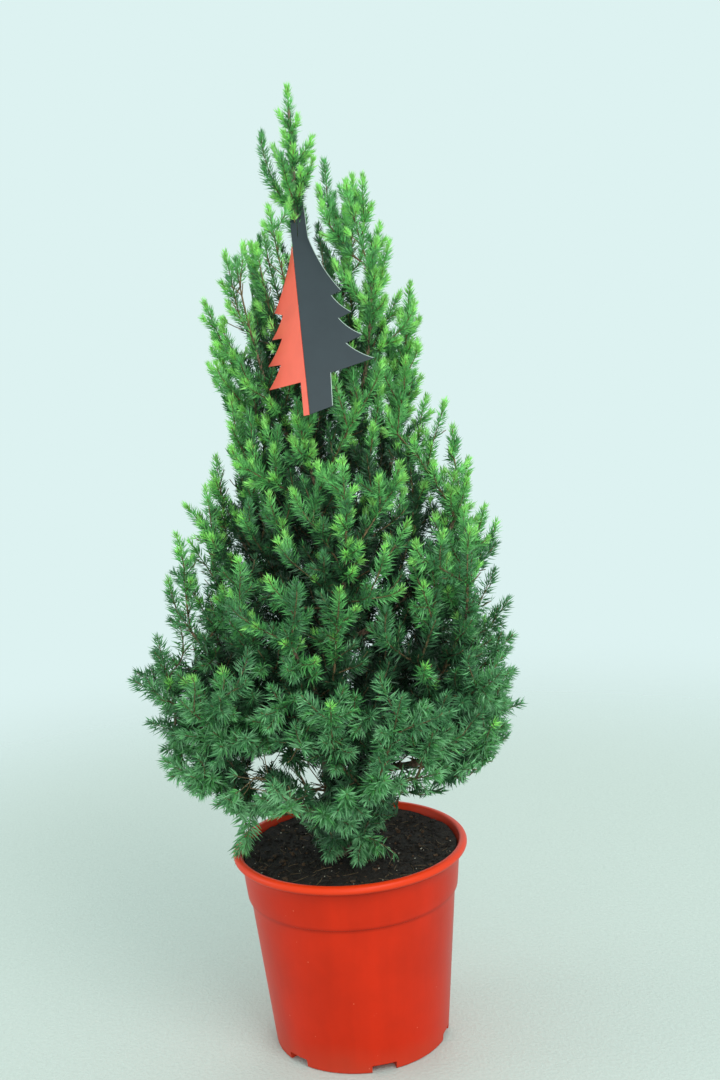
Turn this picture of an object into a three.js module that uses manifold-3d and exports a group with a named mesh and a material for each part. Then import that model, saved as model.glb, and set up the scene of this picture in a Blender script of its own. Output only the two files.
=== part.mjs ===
// A dwarf white spruce growing in a round nursery pot, with a folded hang label on its leader.
// Millimetres, +Z up. The origin is the centre of the pot's flat foot, on the surface it stands on,
// and -Y is the side that the label faces.
import * as THREE from "three";
import { mergeVertices } from "three/addons/utils/BufferGeometryUtils.js";
import Module from "manifold-3d";

const wasm = await Module();
wasm.setup();

// ---- Driving dimensions -------------------------------------------------------------------------

const GAP = 0.35; // left between pieces that touch
const SLIVER = 0.05; // detail finer than this is dropped after a cut
const LEAF_GAP = 2; // left between masses of foliage
const LEAF_SLIVER = 0.9;

const POT = {
  height: 200,
  rimRadius: 115, // outside of the rolled rim
  rimDepth: 8, // how far the rolled rim hangs down
  collarRadius: 107.5, // outside of the wall just under the rim
  collarFoot: 153, // height of the step under the stacking collar
  collarStep: 2.6,
  footRadius: 86.5,
  wall: 2.2,
  floor: 2.4,
  sides: 28,
  // Drain notches cut up into the foot's edge, each under a pocket that stands inside the pot.
  notches: { count: 6, first: 282, width: 24, height: 8, depth: 12, slotWidth: 12, slotHeight: 4.5 },
};

const SOIL = { top: 186, relief: 2.5, rings: 3, sides: 18 };

const TRUNK = {
  flareRadius: 13,
  footRadius: 9,
  tipRadius: 1.2,
  flareHeight: 22,
  tip: 900,
  sides: 8,
  rings: 10,
  // Leans off the pot's centre, then stands up: height and offset at a few stations.
  line: [
    [186, -12, 0],
    [290, -15, 1],
    [450, -10, 3],
    [620, -7, 2],
    [800, -9, -1],
    [900, -9, 0],
  ],
};

// Tiers of boughs, from the soil up. first is the azimuth of a tier's first bough in degrees,
// anticlockwise from +X, and the others follow evenly. reach is how far out each bough's longest shoot
// ends, attach is the tier's height on the trunk and tip the height of its longest shoots, and climb is
// how much higher each bough's tips are than those of the one before. fan is the half angle over which
// a bough's shoots spread, rise is how much higher its inner shoots end, and sweep is how steeply they
// turn up: 0 lies level and 1 stands upright. body and shoot are half widths.
const TIERS = [
  { name: "skirt", first: 188, reach: [114, 80, 102, 96], attach: 224, tip: 210, climb: 2,
    fan: 27, rise: 10, sweep: 0.05, body: 22, shoot: 15 },
  { name: "low", first: 202, reach: [194, 172, 186, 178, 184], attach: 268, tip: 322, climb: 3,
    fan: 31, rise: 24, sweep: 0.32, body: 40, shoot: 21 },
  { name: "broad", first: 184, reach: [200, 178, 196, 186, 186], attach: 328, tip: 402, climb: 8,
    fan: 30, rise: 68, sweep: 0.55, body: 50, shoot: 20 },
  { name: "middle", first: 270, reach: [150, 170, 153, 146], attach: 398, tip: 512, climb: 10,
    fan: 38, rise: 56, sweep: 0.72, body: 50, shoot: 19 },
  { name: "upper", first: 144, reach: [118, 112, 128], attach: 474, tip: 594, climb: 10,
    fan: 46, rise: 60, sweep: 0.82, body: 46, shoot: 18 },
  { name: "high", first: 206, reach: [102, 100, 98], attach: 562, tip: 722, climb: 8,
    fan: 40, rise: 46, sweep: 0.88, body: 33, shoot: 14 },
  { name: "top", first: 172, reach: [70, 58], attach: 664, tip: 812, climb: 46,
    fan: 42, rise: -24, sweep: 0.92, body: 19, shoot: 11 },
];

// A mass's shoots: each one's place across the fan, share of the reach and share of the rise.
const SHOOTS = [
  { fan: -1, reach: 0.94, rise: -0.35 },
  { fan: -0.3, reach: 1, rise: 0 },
  { fan: 0.25, reach: 0.76, rise: 1 },
  { fan: 0.95, reach: 0.92, rise: 0.15 },
];
const LEADER = {
  foot: 806, top: 922, bodyRadius: 14, shoots: 4, firstShoot: 168, shootRadius: 8, reach: 27,
  sliver: 0.3,
};
const BOUGH = { sides: 4, rings: 1, thickest: 4.8, thinnest: 2.2, entry: 0.3, stagger: 9 };

const LABEL = {
  thickness: 0.8,
  foldTop: [-15.6, -2, 803],
  foldFoot: [-9, -108, 629],
  neckWidth: 14,
  span: 61.5, // from the fold to the longest branch tip
  branches: [ // tips and the notches after them, as shares of the fold's length and of the span
    { at: 0.402, out: 0.64, notchAt: 0.426, notchOut: 0.495 },
    { at: 0.515, out: 0.755, notchAt: 0.542, notchOut: 0.56 },
    { at: 0.631, out: 0.873, notchAt: 0.667, notchOut: 0.626 },
    { at: 0.749, out: 1, notchAt: 0.807, notchOut: 0.36 },
  ],
  footAt: 0.965,
  footOut: 0.335,
  frontTurn: 6, // degrees that each leaf is folded back from facing forward
  sideTurn: 58,
  clearBehind: 2.5, // foliage stays this far behind the label
  clearFront: 70, // and is cut away this far in front of each leaf
  clearSide: 22,
};

const COLOURS = {
  pot: 0xcb3217,
  soil: 0x2a2119,
  bark: 0x5b4433,
  foliage: [0x2f5a35, 0x35643a, 0x3d7040, 0x4a8045, 0x57904a],
  labelFront: 0x3d4a50,
  labelSide: 0xf0745f,
};

// ---- Small helpers ------------------------------------------------------------------------------

// A repeatable stream of numbers from 0 to 1.
function seeded(seed) {
  let state = seed >>> 0;
  return () => {
    state = (state + 0x6d2b79f5) >>> 0;
    let t = state;
    t = Math.imul(t ^ (t >>> 15), t | 1);
    t ^= t + Math.imul(t ^ (t >>> 7), t | 61);
    return ((t ^ (t >>> 14)) >>> 0) / 4294967296;
  };
}

const radians = (degrees) => (degrees * Math.PI) / 180;

const polar = (radius, azimuth, z) =>
  new THREE.Vector3(radius * Math.cos(radians(azimuth)), radius * Math.sin(radians(azimuth)), z);

// A closed three.js geometry as a solid, with its shared vertices merged and its faces turned out.
function solidFrom(geometry) {
  const bare = geometry.clone();
  bare.deleteAttribute("normal");
  bare.deleteAttribute("uv");
  const merged = mergeVertices(bare, 1e-4);
  const corners = new Uint32Array(merged.index.array);
  const build = () =>
    new wasm.Manifold(
      new wasm.Mesh({
        numProp: 3,
        vertProperties: new Float32Array(merged.attributes.position.array),
        triVerts: corners,
      }),
    );
  const solid = build();
  if (solid.volume() >= 0) return solid;
  for (let i = 0; i < corners.length; i += 3) {
    [corners[i + 1], corners[i + 2]] = [corners[i + 2], corners[i + 1]];
  }
  return build();
}

// The largest body of a solid as a geometry. A cut can leave crumbs beside it and slivers on it.
function geometryFrom(solid, sliver = SLIVER) {
  const bodies = solid.simplify(sliver).decompose().sort((a, b) => b.volume() - a.volume());
  const mesh = bodies[0].getMesh();
  const geometry = new THREE.BufferGeometry();
  geometry.setAttribute("position", new THREE.BufferAttribute(mesh.vertProperties, mesh.numProp));
  geometry.setIndex(new THREE.BufferAttribute(mesh.triVerts, 1));
  return geometry;
}

function named(name, geometry, colour, roughness) {
  const flat = geometry.index ? geometry.toNonIndexed() : geometry;
  flat.computeVertexNormals();
  const material = new THREE.MeshStandardMaterial({ color: colour, roughness, metalness: 0 });
  const mesh = new THREE.Mesh(flat, material);
  mesh.name = name;
  return mesh;
}

// A ball bent along a curve, with its rings closer towards the far end. widthAt gives its half width
// at each share of the way along, and spread widens it level.
function spindle(curve, widthAt, sides, rings, { grow = 0, spread = 1, uneven = () => 1 } = {}) {
  const ball = new THREE.SphereGeometry(1, sides, rings);
  const position = ball.attributes.position;
  const point = new THREE.Vector3();
  // Square to the upright plane that the curve bends in, so that no ring is twisted against the next.
  const chord = curve.getPoint(1).sub(curve.getPoint(0));
  const level = new THREE.Vector3(chord.y, -chord.x, 0).normalize();
  for (let i = 0; i < position.count; i++) {
    point.fromBufferAttribute(position, i);
    const ring = Math.round((rings * Math.acos(THREE.MathUtils.clamp(point.y, -1, 1))) / Math.PI);
    const along = 1 - (1 - ring / rings) ** 1.35;
    const round = Math.atan2(point.z, point.x);
    const centre = curve.getPointAt(along);
    const tangent = curve.getTangentAt(along);
    const side = level.clone().addScaledVector(tangent, -level.dot(tangent)).normalize();
    const other = new THREE.Vector3().crossVectors(side, tangent).normalize();
    const pole = ring === 0 || ring === rings;
    const sector = (Math.round((round / (2 * Math.PI)) * sides) + sides) % sides;
    const width = pole ? 0 : widthAt(along) * uneven(ring, sector) + grow;
    centre.addScaledVector(side, width * Math.cos(round) * spread);
    centre.addScaledVector(other, width * Math.sin(round));
    if (pole) centre.addScaledVector(tangent, (ring === 0 ? -1 : 1) * grow * 1.5);
    position.setXYZ(i, centre.x, centre.y, centre.z);
  }
  return solidFrom(ball);
}

const bend = (from, middle, to) => new THREE.QuadraticBezierCurve3(from, middle, to);

// ---- Pot and soil -------------------------------------------------------------------------------

// Outer radius of the pot's wall at a height, under the rim.
function wallRadius(z) {
  const taper = (POT.collarRadius - POT.collarStep - POT.footRadius) / (POT.height - POT.rimDepth);
  return POT.footRadius + taper * z + (z > POT.collarFoot ? POT.collarStep : 0);
}

function turned(profile, sides) {
  const points = profile.map(([radius, z]) => new THREE.Vector2(radius, z));
  return new THREE.LatheGeometry(points, sides).rotateX(Math.PI / 2);
}

// A box that stands across the foot's edge at every notch, from an inner radius outwards.
function atNotches(inner, outer, width, bottom, top) {
  const boxes = [];
  for (let i = 0; i < POT.notches.count; i++) {
    const box = new THREE.BoxGeometry(outer - inner, width, top - bottom);
    box.translate((inner + outer) / 2, 0, (bottom + top) / 2);
    box.rotateZ(radians(POT.notches.first + (i * 360) / POT.notches.count));
    boxes.push(solidFrom(box));
  }
  return boxes.reduce((all, box) => all.add(box));
}

// The pockets over the notches, grown by a gap where the soil has to clear them.
function buildPockets(grow = 0) {
  const { width, height, depth } = POT.notches;
  const inner = POT.footRadius - depth - POT.wall - grow;
  const outer = POT.footRadius - POT.wall / 2 + 2 * grow;
  return atNotches(inner, outer, width + 2 * (POT.wall + grow), 0.2, height + POT.wall + grow);
}

function buildPot() {
  const { height, rimRadius, rimDepth, collarFoot, footRadius, wall, floor, notches } = POT;
  const underRim = height - rimDepth;
  const shell = turned([
    [0, 0],
    [footRadius, 0],
    [wallRadius(collarFoot), collarFoot - 1],
    [wallRadius(collarFoot + 1), collarFoot + 1],
    [wallRadius(underRim), underRim - 1],
    [rimRadius - 1.2, underRim],
    [rimRadius, height - rimDepth / 2],
    [rimRadius - 2.4, height - 0.8],
    [rimRadius - 5, height],
    [rimRadius - 8.5, height - 1.6],
    [wallRadius(underRim) - wall, underRim],
    [wallRadius(floor) - wall, floor],
    [0, floor],
  ], POT.sides);
  const inner = footRadius - notches.depth;
  const cut = atNotches(inner, footRadius + 4, notches.width, -1, notches.height);
  const slots = atNotches(inner - 2 * wall, inner + 2, notches.slotWidth, floor, floor + notches.slotHeight);
  return solidFrom(shell).add(buildPockets()).subtract(cut).subtract(slots);
}

// The potting mix: a plug of the pot's inner shape with a lumpy top, clear of the pockets.
function buildSoil() {
  const floor = POT.floor + GAP;
  const inner = (z) => wallRadius(Math.min(z, POT.collarFoot - 1)) - POT.wall - GAP * 1.6;
  const profile = [[0, floor], [inner(floor), floor], [inner(SOIL.top), SOIL.top]];
  for (let ring = SOIL.rings - 1; ring >= 0; ring--) {
    profile.push([(inner(SOIL.top) * ring) / SOIL.rings, SOIL.top]);
  }
  const plug = turned(profile, SOIL.sides);
  const position = plug.attributes.position;
  const flatRadius = TRUNK.flareRadius + 20;
  for (let i = 0; i < position.count; i++) {
    const [x, y, z] = [position.getX(i), position.getY(i), position.getZ(i)];
    const radius = Math.hypot(x, y);
    if (Math.abs(z - SOIL.top) > 0.01 || radius < flatRadius) continue;
    const lump = Math.sin(x * 0.09 + 1) * Math.cos(y * 0.11) + 0.6 * Math.sin((x + y) * 0.17);
    position.setZ(i, z - SOIL.relief * 0.6 + (SOIL.relief * lump) / 2);
  }
  return solidFrom(plug).subtract(buildPockets(GAP));
}

// ---- Trunk --------------------------------------------------------------------------------------

const trunkLine = new THREE.CatmullRomCurve3(TRUNK.line.map(([z, x, y]) => new THREE.Vector3(x, y, z)));

// The trunk's centre at a height.
function trunkAt(z) {
  const foot = TRUNK.line[0][0];
  const top = TRUNK.line.at(-1)[0];
  let share = (z - foot) / (top - foot);
  for (let i = 0; i < 6; i++) share += (z - trunkLine.getPoint(share).z) / (top - foot);
  return trunkLine.getPoint(THREE.MathUtils.clamp(share, 0, 1));
}

function trunkRadius(z) {
  const share = (z - SOIL.top) / (TRUNK.tip - SOIL.top);
  const flare = Math.exp(-(z - SOIL.top) / (TRUNK.flareHeight / 2));
  const stem = THREE.MathUtils.lerp(TRUNK.footRadius, TRUNK.tipRadius, share ** 0.8);
  return stem + (TRUNK.flareRadius - TRUNK.footRadius) * flare;
}

function buildTrunk(grow = 0, { sides, rings, tip } = TRUNK) {
  const foot = SOIL.top + GAP;
  const stem = new THREE.CylinderGeometry(1, 1, 1, sides, rings);
  const position = stem.attributes.position;
  for (let i = 0; i < position.count; i++) {
    const share = (position.getY(i) + 0.5) ** 1.7;
    const z = THREE.MathUtils.lerp(foot, tip, share);
    const round = Math.atan2(position.getZ(i), position.getX(i));
    const buttress = 1 + 0.1 * Math.sin(round * 5 + 1) * Math.exp(-(z - foot) / TRUNK.flareHeight);
    const middle = Math.hypot(position.getX(i), position.getZ(i)) < 1e-6;
    const radius = middle ? 0 : trunkRadius(z) * buttress + grow;
    const centre = trunkAt(z);
    position.setXYZ(i, centre.x + radius * Math.cos(round), centre.y - radius * Math.sin(round), z);
  }
  return solidFrom(stem);
}

// ---- Hang label ---------------------------------------------------------------------------------

// The label's own frame: down its fold, out across a leaf, and out of the leaf's front.
function leafFrame(turn, outward) {
  const top = new THREE.Vector3(...LABEL.foldTop);
  const down = new THREE.Vector3(...LABEL.foldFoot).sub(top).normalize();
  const level = new THREE.Vector3(outward, 0, 0).addScaledVector(down, -outward * down.x).normalize();
  const back = new THREE.Vector3().crossVectors(down, level).multiplyScalar(-outward);
  const across = level.multiplyScalar(Math.cos(radians(turn)));
  across.addScaledVector(back, Math.sin(radians(turn)));
  const front = new THREE.Vector3().crossVectors(down, across).multiplyScalar(outward);
  return { top, down, across, front };
}

// Half of a tree outline: x runs down the fold and y runs out across the leaf.
function leafOutline(isFront) {
  const length = new THREE.Vector3(...LABEL.foldFoot).distanceTo(new THREE.Vector3(...LABEL.foldTop));
  const { span, neckWidth } = LABEL;
  const shape = new THREE.Shape();
  const start = isFront ? 0 : 0.19 * length;
  const fold = LABEL.thickness / 2 + GAP / 4; // clears the other leaf's back
  shape.moveTo(start, fold);
  if (isFront) shape.lineTo(0, neckWidth);
  // Each branch sweeps out from the stem side to a tip, and cuts back in before the next one.
  let from = new THREE.Vector2(start, isFront ? neckWidth : fold);
  for (const { at, out, notchAt, notchOut } of LABEL.branches) {
    const tip = new THREE.Vector2(at * length, out * span);
    shape.quadraticCurveTo(
      THREE.MathUtils.lerp(from.x, tip.x, 0.58), THREE.MathUtils.lerp(from.y, tip.y, 0.33), tip.x, tip.y,
    );
    from = new THREE.Vector2(notchAt * length, notchOut * span);
    shape.lineTo(from.x, from.y);
  }
  shape.lineTo(LABEL.footAt * length, LABEL.footOut * span);
  shape.lineTo(length, fold);
  return shape;
}

// A plain outline that a leaf fits in, for the space that is kept clear round it.
function leafRoomOutline() {
  const length = new THREE.Vector3(...LABEL.foldFoot).distanceTo(new THREE.Vector3(...LABEL.foldTop));
  const { span, neckWidth } = LABEL;
  return new THREE.Shape([
    [-4, -3], [-4, neckWidth + 2], [0.15 * length, neckWidth + 4], [0.4 * length, 0.64 * span + 4],
    [0.75 * length, span + 5], [length + 4, 0.5 * span], [length + 4, -3],
  ].map(([x, y]) => new THREE.Vector2(x, y)));
}

// One leaf of the label, or its space, as a solid from back to front along its normal.
function buildLeaf(isFront, outline, back = -LABEL.thickness / 2, front = LABEL.thickness / 2) {
  const outward = isFront ? 1 : -1;
  const frame = leafFrame(isFront ? LABEL.frontTurn : LABEL.sideTurn, outward);
  const plate = new THREE.ExtrudeGeometry(outline(isFront), {
    depth: front - back, bevelEnabled: false, curveSegments: 2,
  });
  plate.translate(0, 0, back);
  const place = new THREE.Matrix4().makeBasis(frame.down, frame.across, frame.front);
  place.setPosition(frame.top);
  plate.applyMatrix4(place);
  return solidFrom(plate);
}

// ---- Boughs and masses of foliage ---------------------------------------------------------------

// Where each bough leaves the trunk and where its shoots end, with a little seeded unevenness.
function layOut(tier, index, seed) {
  const random = seeded(seed);
  const vary = (share) => share * (2 * random() - 1);
  const reach = tier.reach[index];
  const azimuth = tier.first + (index * 360) / tier.reach.length + vary(4);
  const lift = tier.climb * (index - (tier.reach.length - 1) / 2);
  const attach = trunkAt(tier.attach + BOUGH.stagger * (index - tier.reach.length / 2));
  const side = index % 2 ? -1 : 1;
  const tips = SHOOTS.map((shoot) => {
    const out = reach * (shoot.reach === 1 ? 1 : shoot.reach * (1 + vary(0.06)));
    const height = tier.tip + lift + tier.rise * (shoot.rise === 0 ? 0 : shoot.rise + vary(0.25));
    return polar(out, azimuth + side * shoot.fan * tier.fan, height);
  });
  return { azimuth, reach, attach, tips };
}

// A bough's line, from inside the trunk to the heart of its mass.
function boughLine(tier, plan) {
  const rise = THREE.MathUtils.lerp(plan.attach.z, tier.tip, 0.16 + 0.1 * tier.sweep);
  const end = polar(plan.reach * BOUGH.entry, plan.azimuth, rise);
  const middle = plan.attach.clone().lerp(end, 0.5).setZ(THREE.MathUtils.lerp(plan.attach.z, rise, 0.35));
  return bend(plan.attach, middle, end);
}

function buildBough(tier, plan, grow = 0) {
  const thick = THREE.MathUtils.lerp(BOUGH.thinnest, BOUGH.thickest, plan.reach / 200);
  const line = boughLine(tier, plan);
  const limb = new THREE.CylinderGeometry(1, 1, 1, BOUGH.sides, BOUGH.rings);
  const position = limb.attributes.position;
  for (let i = 0; i < position.count; i++) {
    const along = position.getY(i) + 0.5;
    const tangent = line.getTangentAt(along);
    const side = new THREE.Vector3().crossVectors(tangent, new THREE.Vector3(0, 0, 1)).normalize();
    const up = new THREE.Vector3().crossVectors(side, tangent).normalize();
    const radius = thick * (1 - 0.4 * along) + grow;
    const centre = line.getPointAt(along);
    centre.addScaledVector(side, -radius * position.getX(i)).addScaledVector(up, radius * position.getZ(i));
    position.setXYZ(i, centre.x, centre.y, centre.z);
  }
  return solidFrom(limb);
}

// Half width along a mass's body: it swells soon after the bough enters, then narrows.
const bodyWidth = (radius) => (along) => radius * Math.sin(Math.PI * along ** 0.85) ** 0.6;

// Half width along a shoot: broad at its foot, with a blunt tip.
const shootWidth = (radius) => (along) => radius * Math.min(1, along * 3) * (1 - along ** 4) ** 0.5;

// A mass: one body round the bough's end, with a fan of shoots that curve out of it to their tips.
function buildMass(tier, plan, seed, grow = 0) {
  const random = seeded(seed);
  const bumps = Array.from({ length: 64 }, () => 0.84 + 0.32 * random());
  const uneven = (ring, sector) => bumps[(ring * 7 + sector) % bumps.length];
  const between = (from, to, level, lift) =>
    new THREE.Vector3(
      THREE.MathUtils.lerp(from.x, to.x, level),
      THREE.MathUtils.lerp(from.y, to.y, level),
      THREE.MathUtils.lerp(from.z, to.z, lift),
    );
  const entry = boughLine(tier, plan).getPoint(0.75);
  const centre = plan.tips.reduce((sum, tip) => sum.add(tip), new THREE.Vector3())
    .divideScalar(plan.tips.length);
  const far = entry.clone().lerp(centre, 0.86);
  const body = bend(entry, between(entry, far, 0.5 + 0.35 * tier.sweep, 0.5 - 0.25 * tier.sweep), far);
  let mass = spindle(body, bodyWidth(tier.body), 6, 3, { grow, uneven, spread: 1.3 });
  plan.tips.forEach((tip, k) => {
    const foot = body.getPoint(0.3);
    const turn = between(foot, tip, 0.5 + 0.4 * tier.sweep, 0.5 - 0.26 * tier.sweep);
    const width = tier.shoot * (0.9 + 0.2 * bumps[k]);
    mass = mass.add(spindle(bend(foot, turn, tip), shootWidth(width), 5, 3, { grow, uneven }));
  });
  return mass;
}

// The leader's mass, with its own short side shoots standing close to the stem.
function buildLeaderMass(grow = 0) {
  const random = seeded(907);
  const stem = trunkAt(LEADER.foot);
  const top = new THREE.Vector3(trunkAt(TRUNK.tip).x, 0, LEADER.top);
  const body = bend(stem, stem.clone().lerp(top, 0.5), top);
  const width = (along) => LEADER.bodyRadius * Math.sin(Math.PI * along ** 0.8) ** 0.6;
  let mass = spindle(body, width, 6, 5, { grow });
  for (let k = 0; k < LEADER.shoots; k++) {
    const reach = LEADER.reach * (0.75 + 0.25 * random());
    const tip = polar(reach, LEADER.firstShoot + (k * 360) / LEADER.shoots, LEADER.top - 26 - 16 * k);
    tip.x += stem.x;
    const foot = body.getPoint(0.2);
    const turn = new THREE.Vector3(tip.x, tip.y, THREE.MathUtils.lerp(foot.z, tip.z, 0.35));
    mass = mass.add(spindle(bend(foot, turn, tip), shootWidth(LEADER.shootRadius), 5, 3, { grow }));
  }
  return mass;
}

// ---- Assembly -----------------------------------------------------------------------------------

const plant = new THREE.Group();

const pot = buildPot();
const soil = buildSoil();
const trunk = buildTrunk();
plant.add(named("pot", geometryFrom(pot), COLOURS.pot, 0.35));
plant.add(named("soil", geometryFrom(soil), COLOURS.soil, 0.95));
plant.add(named("trunk", geometryFrom(trunk), COLOURS.bark, 0.9));

const trunkRoom = buildTrunk(GAP);
const labelFront = buildLeaf(true, leafOutline).subtract(trunkRoom);
const labelSide = buildLeaf(false, leafOutline);
plant.add(named("label_front", geometryFrom(labelFront), COLOURS.labelFront, 0.4));
plant.add(named("label_side", geometryFrom(labelSide), COLOURS.labelSide, 0.4));

// Foliage is cut round the trunk, the label with the space before it, the soil, and whatever foliage
// and boughs are already placed.
const labelRoom = buildLeaf(true, leafRoomOutline, -LABEL.clearBehind, LABEL.clearFront)
  .add(buildLeaf(false, leafRoomOutline, -LABEL.clearBehind, LABEL.clearSide));
const soilRoom = turned([[0, 0], [POT.footRadius, 0], [POT.collarRadius, SOIL.top + 3],
  [0, SOIL.top + 3]], 12);
const trunkSpace = buildTrunk(LEAF_GAP + 1.5, { sides: 6, rings: 4, tip: TRUNK.tip + 4 });
const obstacles = trunkSpace.add(labelRoom).add(solidFrom(soilRoom));

const leader = buildLeaderMass().subtract(obstacles);
plant.add(named("foliage_leader", geometryFrom(leader, LEADER.sliver), COLOURS.foliage[4], 0.85));
let taken = buildLeaderMass(LEAF_GAP);

// Upper tiers are placed first, so a lower mass gives way to the one above it.
[...TIERS].reverse().forEach((tier, level) => {
  tier.reach.forEach((_, index) => {
    const seed = 101 + level * 37 + index * 11;
    const plan = layOut(tier, index, seed);
    const label = `${tier.name}_${index + 1}`;
    const colour = COLOURS.foliage[Math.min(4, Math.floor((TIERS.length - level) / 2))];
    const room = buildMass(tier, plan, seed, LEAF_GAP);
    const bough = buildBough(tier, plan).subtract(trunkRoom).subtract(taken).subtract(room);
    const mass = buildMass(tier, plan, seed).subtract(obstacles).subtract(taken);
    plant.add(named(`bough_${label}`, geometryFrom(bough, GAP / 2), COLOURS.bark, 0.9));
    plant.add(named(`foliage_${label}`, geometryFrom(mass, LEAF_SLIVER), colour, 0.85));
    taken = taken.add(room).add(buildBough(tier, plan, LEAF_GAP));
  });
});

export default plant;
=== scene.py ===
"""The looks of a potted dwarf spruce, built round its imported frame. Metres, +Z up."""

import math

import bmesh
import bpy
import numpy as np
from mathutils import Matrix, Vector, noise
from mathutils.bvhtree import BVHTree


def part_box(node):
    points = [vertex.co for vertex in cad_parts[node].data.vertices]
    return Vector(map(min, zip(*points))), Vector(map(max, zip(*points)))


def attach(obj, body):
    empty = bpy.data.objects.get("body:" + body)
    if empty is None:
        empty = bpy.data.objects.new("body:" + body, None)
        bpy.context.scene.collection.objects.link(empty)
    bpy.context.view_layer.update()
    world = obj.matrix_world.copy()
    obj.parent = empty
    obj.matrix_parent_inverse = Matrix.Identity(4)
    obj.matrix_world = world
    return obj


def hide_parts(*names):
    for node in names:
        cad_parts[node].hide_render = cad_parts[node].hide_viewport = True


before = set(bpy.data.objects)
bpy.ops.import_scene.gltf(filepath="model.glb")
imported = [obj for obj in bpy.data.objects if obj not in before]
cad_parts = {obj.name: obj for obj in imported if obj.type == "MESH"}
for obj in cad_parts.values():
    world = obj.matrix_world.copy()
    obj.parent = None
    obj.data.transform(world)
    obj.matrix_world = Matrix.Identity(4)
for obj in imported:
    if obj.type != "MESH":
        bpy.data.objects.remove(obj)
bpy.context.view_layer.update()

MASSES = sorted(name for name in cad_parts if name.startswith("foliage_"))
BOUGHS = sorted(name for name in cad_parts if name.startswith("bough_"))

# ---- Driving sizes ----

POT = {
    "rim_depth": 0.008,
    "rim_bead": 0.0042,
    "rim_inner_edge": 0.0022,
    "collar_foot": 0.153,
    "collar_step": 0.0026,
    "foot_radius": 0.0865,
    "foot_edge": 0.0016,
    "collar_radius": 0.1075,
    "wall": 0.0022,
    "floor": 0.0024,
    "floor_corner": 0.003,
    "around": 192,
    "notches": {"count": 6, "first": 282, "width": 0.024, "height": 0.008, "depth": 0.012,
                "slot_width": 0.012, "slot_height": 0.0045},
}

SOIL = {
    "bank": 0.004,  # how high the mix is banked up at the stem
    "bank_reach": 0.03,
    "edge_from": 0.080,  # where it begins to rise towards the wall
    "edge_slope": 0.31,
    "rings": 64,
    "around": 176,
}

# How the crown changes with height: how steeply shoots rise in degrees, how far apart their tips
# are, a needle's length, its angle off the twig in degrees, how far it bends down, how many stand
# on a metre of twig, and how far below a tip the needles begin to thin out and end.
CROWN = {
    "height": (0.19, 0.23, 0.28, 0.34, 0.42, 0.50, 0.60, 0.70, 0.92),
    "rise": (-22, -4, 14, 36, 58, 70, 78, 81, 86),
    "tip_spacing": (0.019, 0.019, 0.0185, 0.018, 0.0175, 0.017, 0.0165, 0.016, 0.015),
    "needle_length": (0.015, 0.015, 0.015, 0.0142, 0.0122, 0.0107, 0.0096, 0.0092, 0.009),
    "needle_angle": (68, 68, 66, 62, 57, 54, 52, 51, 52),
    "needle_droop": (0.46, 0.44, 0.40, 0.30, 0.14, 0.05, 0.01, 0.0, 0.0),
    "needles_per_metre": (1300, 1300, 1400, 1550, 1850, 2300, 2900, 3300, 3700),
    "thins_from": (0.040, 0.042, 0.045, 0.050, 0.055, 0.065, 0.120, 0.170, 0.230),
    "bare_from": (0.085, 0.090, 0.095, 0.105, 0.120, 0.140, 0.230, 0.300, 0.380),
}
# Open spaces in and under the crown, as they are seen from a point in front of it. Each has its
# middle across and up in the plane of the trunk, half its width and height, and the share of sprays
# left in it. Twigs cross the windows, but not the clearings over the potting mix.
SEEN_FROM = (0.0, -1.31, 0.723)  # the camera stands here too
WINDOWS = ((-0.062, 0.267, 0.040, 0.027, 0.27), (0.062, 0.261, 0.020, 0.018, 0.12))
CLEARINGS = ((-0.068, 0.200, 0.033, 0.025, 0.0), (0.074, 0.208, 0.038, 0.027, 0.03))
# Narrow gaps between the long shoots at both sides, given in the same way.
GAPS = (
    (-0.142, 0.425, 0.006, 0.032, 0.0), (-0.120, 0.488, 0.006, 0.022, 0.0),
    (-0.092, 0.570, 0.006, 0.024, 0.0), (-0.071, 0.706, 0.007, 0.024, 0.0),
    (-0.064, 0.750, 0.007, 0.030, 0.0), (-0.034, 0.755, 0.009, 0.030, 0.0),
    (0.146, 0.445, 0.007, 0.022, 0.0), (0.146, 0.548, 0.006, 0.018, 0.0),
    (0.112, 0.590, 0.006, 0.018, 0.0), (0.046, 0.770, 0.006, 0.026, 0.0),
)
# The crown's underside: how high it is at each distance from the trunk.
UNDERSIDE = ((0.084, 0.205), (0.092, 0.230), (0.110, 0.250), (0.130, 0.266), (0.152, 0.278),
             (0.172, 0.296), (0.188, 0.325))
# Sprigs that hang down over the pot's rim: where each one's tip is.
HANGING = ((-0.108, -0.022, 0.199), (-0.101, -0.036, 0.214))
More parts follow.
